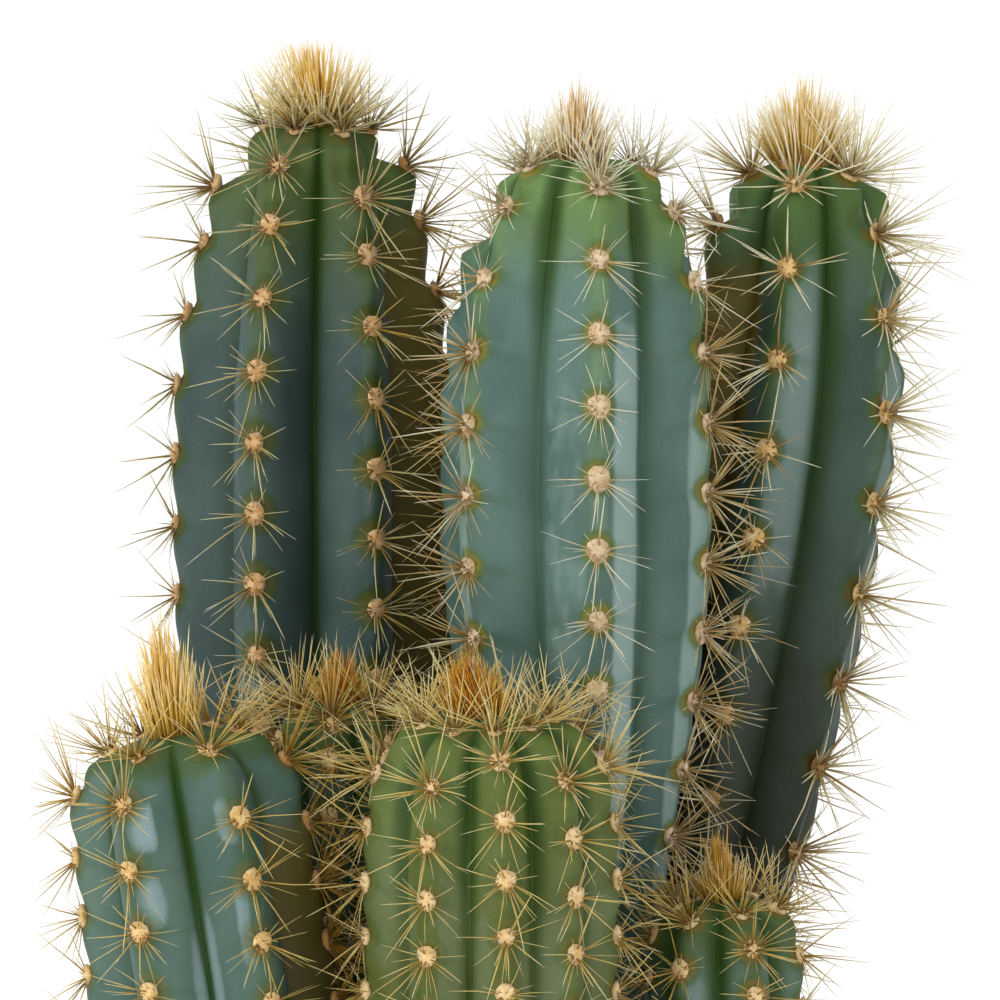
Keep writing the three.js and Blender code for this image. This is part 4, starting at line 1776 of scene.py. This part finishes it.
    def spine_group(self, areoles: Areoles, rng: np.random.Generator, kind: SpineKind) -> Bristles:
        """The same kind of spines on every areole.

        Args:
            areoles: where they stand.
            rng: source of the small differences.
            kind: the kind.

        Returns:
            The spines.
        """
        seat = areoles.repeated(len(kind.around))
        total = len(seat.size)
        turn = np.radians(np.tile(kind.around, len(areoles.size)) + rng.normal(0.0, 15.0, total))
        lean = np.radians(rng.uniform(*kind.tilt, total))
        flat = swing(seat.along, seat.side, turn)
        way = unit(swing(seat.normal, flat, lean))
        root = seat.point + seat.normal * 0.0007 + flat * (0.0013 * seat.size * np.sin(lean))[:, None]
        way = unit(way + np.array([0.0, 0.0, 0.16]) * (seat.youth * rng.uniform(0.0, 1.0, total))[:, None])
        low, high = (share * self.spine for share in kind.reach)
        reach = rng.uniform(low, high, total) * seat.size**0.5 * lerp(1.0, 1.12, seat.youth)
        # Tone: random, plus the areole's stain and painted shade, plus the rib's gilding.
        return Bristles(
            root, way, reach, kind.girth * self.girth * rng.uniform(0.8, 1.15, total),
            rng.normal(0.0, 0.05, (total, 3)) * reach[:, None],
            rng.uniform(0.0, 1.0, total) * 0.8 + 0.4 * seat.stain_and_shade + 0.9 * self.gilding(seat),
        )

    def gilding(self, areoles: Areoles) -> Array:
        """How golden the spines of the areoles are: their rib's amount, less on the young rows."""
        return self.each(self.gilt)[areoles.rib] * (1.0 - areoles.youth)

    def spines(self, areoles: Areoles, rng: np.random.Generator) -> Bristles:
        """All spines of the column's areoles, before they are fitted among the neighbours.

        Args:
            areoles: where they stand.
            rng: source of the small differences.

        Returns:
            Those that every areole has, those of the young ones and those of the dense ones.
        """
        young = areoles.only(areoles.youth > 0.5)
        dense = areoles.only((self.gilding(areoles) > 0.4) | np.isin(areoles.rib, self.bushy))
        groups = [self.spine_group(areoles, rng, kind) for kind in (RADIAL, THIN, CENTRAL)]
        groups.append(self.spine_group(young, rng, FRESH))
        groups.append(self.spine_group(dense, rng, DENSE))
        return Bristles.join(groups)

    # -- The crown

    @property
    def crown_seat(self) -> tuple[Array, ...]:
        """Centre, up, right and back of the crown, a little below the apex and moved to its place."""
        centre, up, right, back = (v[0] for v in self.frame_at(np.array([self.crown.sunk])))
        return centre + right * self.crown.shift, up, right, back

    def crown_wool(self, rng: np.random.Generator) -> Surface:
        """The woolly cushion on the apex.

        A dome of nine rings of 28 points: radius width * cos(a)^0.8 and height rise * sin a, with points
        moved in and out by up to 7 per cent.

        Args:
            rng: source of the small differences.

        Returns:
            The cushion, with "tone" on its points.
        """
        centre, up, right, back = self.crown_seat
        lift = np.radians(np.array([82.0, 72.0, 60.0, 47.0, 34.0, 20.0, 7.0, -8.0, -22.0]))
        turn = turns(28)
        wobble = rng.uniform(0.93, 1.07, (9, 28))
        reach = self.crown.width * np.cos(lift)[:, None] ** 0.8 * wobble
        high = self.crown.rise * np.sin(lift)[:, None] * wobble
        rings = (
            centre + right * (reach * np.sin(turn))[..., None] - back * (reach * np.cos(turn))[..., None]
            + up * high[..., None]
        )
        peak = centre + up * self.crown.rise
        base = centre - up * 0.45 * self.crown.rise
        return sleeves(rings[None], peak[None], base[None], tone=rng.uniform(0.0, 1.0, (9, 28)))

    def crown_spines(self, rng: np.random.Generator) -> Bristles:
        """The young spines of the crown, before they are fitted among the neighbours.

        Spine i stands at share ((i + 0.5) / n)^0.62 of the cushion's radius, turned by i golden angles from
        the column's own start, and leans out by lean * share^fan. The outer ones are shorter by
        fall * share^taper, and those at the sides are paler.

        Args:
            rng: source of the small differences.

        Returns:
            The spines.
        """
        crown = self.crown
        centre, up, right, back = self.crown_seat
        i = np.arange(crown.spines)
        share = ((i + 0.5) / crown.spines) ** 0.62
        turn = np.radians(i * GOLDEN_ANGLE + self.order * 31.0)
        lean = np.radians(crown.lean * share**crown.fan + rng.normal(0.0, 5.0, crown.spines))
        flat = swing(-back, right, turn)
        high = crown.rise * np.sqrt(np.maximum(1.0 - 0.97 * share**2, 0.0)) - crown.sunk
        root = centre + flat * (crown.width * 0.96 * share)[:, None] + up * high[:, None]
        way = unit(swing(up + right * crown.slant, flat, lean))
        length = crown.length * rng.uniform(0.6, 1.0, crown.spines) * (1.0 - crown.fall * share**crown.taper)
        aside = share * lerp(0.5, 1.0, np.abs(np.sin(turn)))
        return Bristles(
            root, way, length, rng.uniform(0.00024, 0.0004, crown.spines),
            rng.normal(0.0, 0.05, (crown.spines, 3)) * length[:, None],
            np.clip(1.4 - 1.6 * aside + rng.normal(0.0, 0.14, crown.spines), 0.0, 1.0),
        )


# ---- The plant


@dataclass
class Plant:
    """The seven columns, with their spines fitted into the room that there is.

    Attributes:
        columns: the columns.
        soil: what they stand in.
        low: lowest corner of the box that holds everything.
        high: highest corner of it.
        clearance: room between a spine and another column.
        lift: room between a spine and the soil.
        tests: how many points of a spine are tested.
        least: the smallest share of a spine that is worth keeping.
        seed: seed of the first column's scatter.
    """

    columns: list[Column]
    soil: Soil
    low: Array
    high: Array
    clearance: float = 0.0005
    lift: float = 0.001
    tests: int = 19
    least: float = 0.34
    seed: int = 700

    def fitted(self, spines: Bristles, owner: Column) -> Bristles:
        """Shortens spines that would enter another column, the soil or leave the plant's box.

        Points along each spine are tested, and it keeps the part before the first that is not clear.

        Args:
            spines: the spines of one column.
            owner: that column.

        Returns:
            The spines that remain.
        """
        shares = np.linspace(0.1, 1.0, self.tests)
        points = spines.at(np.broadcast_to(shares, (len(spines.length), len(shares))))
        clear = points[..., 2] > self.soil.height(points[..., 0], points[..., 1]) + self.lift
        clear &= np.all((points > self.low) & (points < self.high), axis=-1)
        for other in self.columns:
            if other is not owner:
                clear &= other.room(points) > self.clearance
        blocked = np.where(clear.all(axis=1), len(shares), np.argmin(clear, axis=1))
        allowed = np.where(blocked == 0, 0.0, shares[np.maximum(blocked, 1) - 1])
        return spines.cut(allowed, self.least)

    def dress(self, column: Column) -> list[bpy.types.Object]:
        """Makes one column's skin, wool, spines and crown.

        Args:
            column: the column.

        Returns:
            Its five objects.
        """
        rng = np.random.default_rng(self.seed + column.order)
        stem, crown = f"stem_{column.name}", f"crown_{column.name}"
        areoles = column.areoles()
        felt = Surface.join([column.pads(areoles, rng), column.fluff(areoles, rng)])
        spines = self.fitted(column.spines(areoles, rng), column).surface()
        tuft = self.fitted(column.crown_spines(rng), column).surface()
        rows = [
            ("skin", "skin", column.skin_surface(), column.skin.value, stem),
            ("wool", "wool", felt, column.wool.finish, stem),
            ("spines", "spines", spines, column.horn.finish, stem),
            ("crown_wool", "crown_wool", column.crown_wool(rng), column.crown.wool.finish, crown),
            ("crown_spines", "tuft", tuft, column.crown.horn.finish, crown),
        ]
        made = [
            (surface.piece(f"{piece}_{column.name}", finish.material(f"{paint}_{column.name}")), node)
            for piece, paint, surface, finish, node in rows
        ]
        for thing, node in made:
            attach(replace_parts(thing, node), "root")
            LOG.info("%s: %d faces", thing.name, len(thing.data.polygons))
        return [thing for thing, _ in made]

    def build(self) -> list[bpy.types.Object]:
        """Makes all the columns, and gives all their objects."""
        return [thing for column in self.columns for thing in self.dress(column)]


COLUMNS = [
    Column(
        name="tall_left", order=0,
        steering=((-0.036, 0.034, -0.030), (-0.0367, 0.0364, 0.076), (-0.0432, 0.038, 0.183),
                  (-0.0379, 0.038, 0.2919)),
        radius=0.0314, foot=0.0185, groove=0.34, swell=0.0006, shoulder=(0.71, 2.2), narrow=(0.113, 0.288),
        ribs=(-22.5, 31, 92, 152, 212, 272), extra=(0, 0, 0.003, 0, 0, 0.0006),
        stair=0.9, shelf=0.1, fold_depth=0.0006, seams=(1, 0.5, 1, 0.5, 0.5, 0.1),
        tip=0.010, second=0.0234, pitch=0.0166, lag=0.38,
        spine=0.017, girth=1.2, gilt=(0, 0.35, 1, 0, 0, 0),
        skin=Complexion.DUSKY, horn=Horn.DRAB, wool=Wool.TAN,
        shelter=((58, 128, 1.0),), dim=((-17, 6, 0.36), (-88, -34, 0.12)),
        frosts=(Frost(0, (-0.5, -0.3), (0.04, 0.09), 0.6), Frost(1, (-0.2, -0.05), (0.04, 0.15), 0.6),
                Frost(4, (0.2, 0.6), (0.05, 0.16)), Frost(3, (-0.5, -0.1), (0.08, 0.2))),
        crown=Crown(0.0068, 0.0028, 300, 0.0284, 60.0, Horn.GOLD, slant=-0.16, fall=0.42, taper=0.8, fan=1.7),
    ),
    Column(
        name="tall_centre", order=1,
        steering=((0.020, 0.004, -0.030), (0.0295, 0.0016, 0.076), (0.0194, 0, 0.181), (0.0247, 0, 0.2857)),
        radius=0.0326, foot=0.0175, groove=0.25, swell=0.0006, shoulder=(0.8, 1.8), narrow=(0.085, 0.205),
        dome=(0.5, 3.5), ribs=(7, 63, 126, 187, 248, 308.5), turned=(0, 0, 6, 0, -11, 0),
        extra=(0, 0, 0, 0, 0.001, 0), drawn=(0, 0.14, 0.24, 0.24, 0.24, 0.14),
        stair=0.9, shelf=0.1, fold_depth=0.0002,
        tip=0.0048, second=0.0207, pitch=0.0162, lag=0.36,
        spine=0.016, gilt=(0, 0.6, 0.8, 0, 1, 0.6),
        skin=Complexion.FROSTED, horn=Horn.FROSTY, wool=Wool.PINK,
        frosts=(Frost(0, (0.22, 0.8), (0.035, 0.16)), Frost(0, (-0.9, -0.12), (0.04, 0.2), 0.42),
                Frost(1, (-0.34, -0.02), (0.05, 0.25), 0.8), Frost(5, (-0.34, 0.04), (0.05, 0.25), 0.8),
                Frost(3, (0.1, 0.6), (0.04, 0.17)), Frost(4, (-0.5, -0.1), (0.05, 0.14))),
        crown=Crown(0.0062, 0.0028, 220, 0.0199, 40.0, Horn.PALE_GOLD, shift=-0.0024),
    ),
    Column(
        name="tall_right", order=2,
        steering=((0.042, 0.040, -0.030), (0.039, 0.0424, 0.074), (0.0754, 0.044, 0.178),
                  (0.0768, 0.044, 0.282)),
        radius=0.0285, foot=0.0155, groove=0.34, swell=0.0009, shoulder=(0.70, 2.1), narrow=(0.080, 0.270),
        ribs=(-10, 53, 105, 165, 227, 289), turned=(0, 0, 12, 0, 0, 0),
        stair=0.85, shelf=0.15, fold_depth=0.0003,
        tip=0.005, second=0.024, pitch=0.0213, lag=0.5, ring=0.003, ring_ribs=ODD,
        spine=0.018, girth=1.35, gilt=(0.3, 0, 0.2, 0, 0, 1), bushy=(1, 2),
        skin=Complexion.SMOKY, horn=Horn.CREAM, wool=Wool.GOLDEN, shelter=((-80, -24, 1.0),),
        frosts=(Frost(0, (0.05, 0.92), (0.02, 0.10)), Frost(1, (-0.3, -0.02), (0.02, 0.12), 0.45),
                Frost(2, (-0.6, -0.2), (0.03, 0.14)), Frost(3, (0.1, 0.5), (0.06, 0.18))),
        crown=Crown(0.0078, 0.003, 320, 0.0218, 32.0, Horn.FLAME_GOLD, fall=0.3, fan=1.4),
    ),
    Column(
        name="short_left", order=3,
        steering=((-0.048, -0.036, -0.030), (-0.0487, -0.0408, 0.034), (-0.0568, -0.044, 0.097),
                  (-0.0681, -0.044, 0.1608)),
        radius=0.026, foot=0.0155, groove=0.3, swell=0.0006, shoulder=(0.92, 1), narrow=(0.062, 0.150),
        ribs=(-29, 32, 92, 152, 212, 270), extra=(0, 0, 0, 0, 0.001, 0.0028), stair=0.4,
        tip=0.003, second=0.0172, pitch=0.0138, low=(0, 2, 4, 5), lag=0.55,
        ring=0.0022, ring_ribs=(0, 2, 4, 5), spine=0.017, gilt=(0, 0, 0.6, 0, 0, 0),
        skin=Complexion.CHALKY, horn=Horn.BRASS, wool=Wool.HONEY,
        shelter=((54, 120, 1.0),), dim=((40, 90, 0.46),),
        frosts=(Frost(0, (0.08, 0.5), (0.0105, 0.021), 1.15), Frost(0, (0.06, 0.44), (0.0265, 0.038), 1.15),
                Frost(0, (0.7, 0.94), (0.042, 0.085)), Frost(1, (-0.94, -0.72), (0.036, 0.085)),
                Frost(1, (-0.42, -0.08), (0.012, 0.022)), Frost(1, (-0.34, -0.1), (0.03, 0.05), 0.8),
                Frost(3, (0.1, 0.6), (0.02, 0.09))),
        crown=Crown(0.0050, 0.0025, 250, 0.0306, 15.0, Horn.SUNNY, slant=0.05),
    ),
    Column(
        name="short_centre", order=4,
        steering=((0.002, -0.044, -0.030), (-0.0005, -0.0482, 0.036), (0.0048, -0.051, 0.101),
                  (0.0021, -0.051, 0.1669)),
        radius=0.0285, foot=0.0165, groove=0.2, narrow=(0.060, 0.150),
        ribs=(7, 41, 80, 120, 161, 202, 243, 284, 331), half_rib=8, fold_depth=0.0002,
        tip=0.007, second=0.0192, pitch=0.0125, low=(1, 2, 4, 6, 7, 8), lag=0.42, ring_ribs=tuple(range(9)),
        spine=0.0165, pad=0.88, skin=Complexion.OLIVE, horn=Horn.STRAW, wool=Wool.STRAW,
        frosts=(Frost(0, (-0.95, -0.3), (0.038, 0.11), 0.8), Frost(0, (0.3, 0.95), (0.042, 0.11), 0.7),
                Frost(1, (-0.95, -0.2), (0.04, 0.11), 0.8), Frost(1, (0.2, 0.9), (0.034, 0.11), 0.6),
                Frost(8, (0.2, 0.95), (0.03, 0.11), 0.8), Frost(8, (-0.95, -0.2), (0.034, 0.11), 0.7),
                Frost(2, (-0.9, -0.2), (0.03, 0.11), 0.6), Frost(4, (0.2, 0.9), (0.03, 0.11), 0.8)),
        crown=Crown(0.0062, 0.0025, 260, 0.0165, 36.0, Horn.AMBER, Wool.AMBER, shift=-0.0022, slant=-0.2),
    ),
    Column(
        name="short_right", order=5,
        steering=((0.046, -0.024, -0.030), (0.0479, -0.0264, 0.020), (0.0602, -0.028, 0.070),
                  (0.0555, -0.028, 0.1196)),
        radius=0.0175, foot=0.0115, groove=0.28, narrow=(0.038, 0.105),
        ribs=(-40, 20, 80, 140, 200, 260), half_rib=9,
        tip=0.003, second=0.0132, pitch=0.0114, lag=0.5, ring_ribs=ODD,
        spine=0.0155, pad=0.88, skin=Complexion.SHADED, horn=Horn.BRASS, wool=Wool.STRAW,
        frosts=(Frost(0, (0.2, 0.8), (0.015, 0.06)), Frost(1, (-0.8, -0.2), (0.02, 0.06), 0.8)),
        crown=Crown(0.0038, 0.002, 150, 0.0195, 22.0, Horn.HONEY),
    ),
    Column(
        name="short_back", order=6,
        steering=((-0.031, -0.009, -0.030), (-0.0312, -0.0108, 0.034), (-0.0335, -0.012, 0.098),
                  (-0.0321, -0.012, 0.1624)),
        radius=0.016, foot=0.011, groove=0.28, narrow=(0.060, 0.150),
        ribs=(-5, 55, 115, 175, 235, 295), half_rib=9,
        tip=0.0035, second=0.0115, pitch=0.0125, lag=0.42,
        spine=0.017, pad=0.88, skin=Complexion.SHADED, horn=Horn.BRASS, wool=Wool.HONEY,
        crown=Crown(0.0046, 0.002, 140, 0.0150, 30.0, Horn.AMBER),
    ),
]


# ---- The studio


def aimed(name: str, data: Any, place: Place, target: Place) -> bpy.types.Object:
    """Hangs a lamp or the camera, turned towards what it looks at.

    Args:
        name: the object's name.
        data: its lamp or camera data.
        place: where it hangs.
        target: what it looks at.

    Returns:
        The new object, linked into the scene.
    """
    thing = bpy.data.objects.new(name, data)
    thing.location = place
    thing.rotation_euler = (Vector(target) - Vector(place)).to_track_quat("-Z", "Y").to_euler()
    bpy.context.scene.collection.objects.link(thing)
    return thing


@dataclass(frozen=True)
class Lamp:
    """A soft square lamp that looks at the plant."""

    name: str
    place: Place
    power: float
    aim: Place = (0.0, 0.0, 0.32)
    size: float = 1.3

    def build(self) -> bpy.types.Object:
        """Hangs the lamp.

        Returns:
            Its object.
        """
        light = bpy.data.lights.new(self.name, "AREA")
        light.size = self.size
        light.energy = self.power
        return aimed(self.name, light, self.place, self.aim)


@dataclass(frozen=True)
class Studio:
    """A wide pale floor, an even white sky, soft lamps and the camera.

    Attributes:
        reach: radius of the floor.
        thickness: of the floor.
        front: strength of the sky where it is brightest.
        rear: the same on the opposite side.
        from_left: how far to the left the brightest side is, as the sine of its angle.
        eye: the camera's place.
        target: what it looks at.
        lens: its focal length in millimetres.
        sensor: width of its sensor in millimetres.
        sight: how far it sees.
        lamps: the lamps.
    """

    reach: float = 40.0
    thickness: float = 0.01
    front: float = 1.75
    rear: float = 0.5
    from_left: float = 0.45
    eye: Place = (0.005, -1.150, 0.505)
    target: Place = (0.005, 0.0, 0.340)
    lens: float = 181.6
    sensor: float = 36.0
    sight: float = 100.0
    lamps: tuple[Lamp, ...] = (
        Lamp("lamp_left", (-1.3, -1.0, 1.0), 14.0),
        Lamp("lamp_right", (1.2, -0.9, 0.8), 2.0),
    )

    def floor(self) -> bpy.types.Object:
        """The floor, a plain disc of rings at distances that grow with the third power.

        Returns:
            Its object.
        """
        radius = self.reach * (np.arange(1, 13) / 12.0) ** 3
        top = spun(radius[:, None], turns(64), 0.0)
        sunk = top[-1:] - [0.0, 0.0, self.thickness]
        graph = Graph("pale_floor")
        tint = graph.mix(graph.noise(3.0, 2.0), (0.955, 0.955, 0.95), (0.965, 0.965, 0.965))
        graph.set(Base_Color=tint, Roughness=0.9)
        middle = np.array([[0.0, 0.0, 0.0], [0.0, 0.0, -self.thickness]])
        disc = sleeves(np.concatenate([top, sunk])[None], middle[:1], middle[1:])
        floor = disc.piece("floor", graph.material)
        floor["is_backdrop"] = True
        return floor

    def heavens(self) -> bpy.types.World:
        """The white sky: its strength falls smoothly from the front left to the rear right.

        Returns:
            The world.
        """
        world = bpy.data.worlds.new("white_sky")
        world.use_nodes = True
        tree = world.node_tree
        back = tree.nodes["Background"]
        back.inputs["Color"].default_value = (1.0, 1.0, 1.0, 1.0)
        place = tree.nodes.new("ShaderNodeTexCoord")
        slant = tree.nodes.new("ShaderNodeVectorMath")
        slant.operation = "DOT_PRODUCT"
        slant.inputs[1].default_value = (self.from_left, math.sqrt(1.0 - self.from_left**2), 0.0)
        fade = tree.nodes.new("ShaderNodeMapRange")
        fade.interpolation_type = "SMOOTHSTEP"
        for key, number in zip(RANGE_ENDS, (-1.0, 1.0, self.front, self.rear)):
            fade.inputs[key].default_value = number
        tree.links.new(place.outputs["Generated"], slant.inputs[0])
        tree.links.new(slant.outputs["Value"], fade.inputs["Value"])
        tree.links.new(fade.outputs["Result"], back.inputs["Strength"])
        return world

    def build(self) -> None:
        """Lays the floor, sets the sky and lamps and places the camera."""
        self.floor()
        scene = bpy.context.scene
        scene.world = self.heavens()
        for lamp in self.lamps:
            lamp.build()
        lens = bpy.data.cameras.new("camera")
        lens.lens = self.lens
        lens.sensor_width = self.sensor
        lens.clip_end = self.sight
        scene.camera = aimed("camera", lens, self.eye, self.target)
        scene.view_settings.view_transform = "Standard"
        scene.view_settings.look = "None"


def main() -> None:
    """Builds the studio, the pot, the soil and the plant."""
    logging.basicConfig(level=logging.INFO, format="%(name)s: %(message)s")
    low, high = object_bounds()
    Studio().build()
    pot = Pot()
    LOG.info("%s", pot.build().name)
    soil = Soil(pot)
    for thing in soil.build():
        LOG.info("%s: %d faces", thing.name, len(thing.data.polygons))
    plant = Plant(COLUMNS, soil, np.array(low) + BOX_INSET, np.array(high) - BOX_INSET)
    pieces = plant.build()
    LOG.info("%d pieces on the columns", len(pieces))


if __name__ == "__main__":
    main()
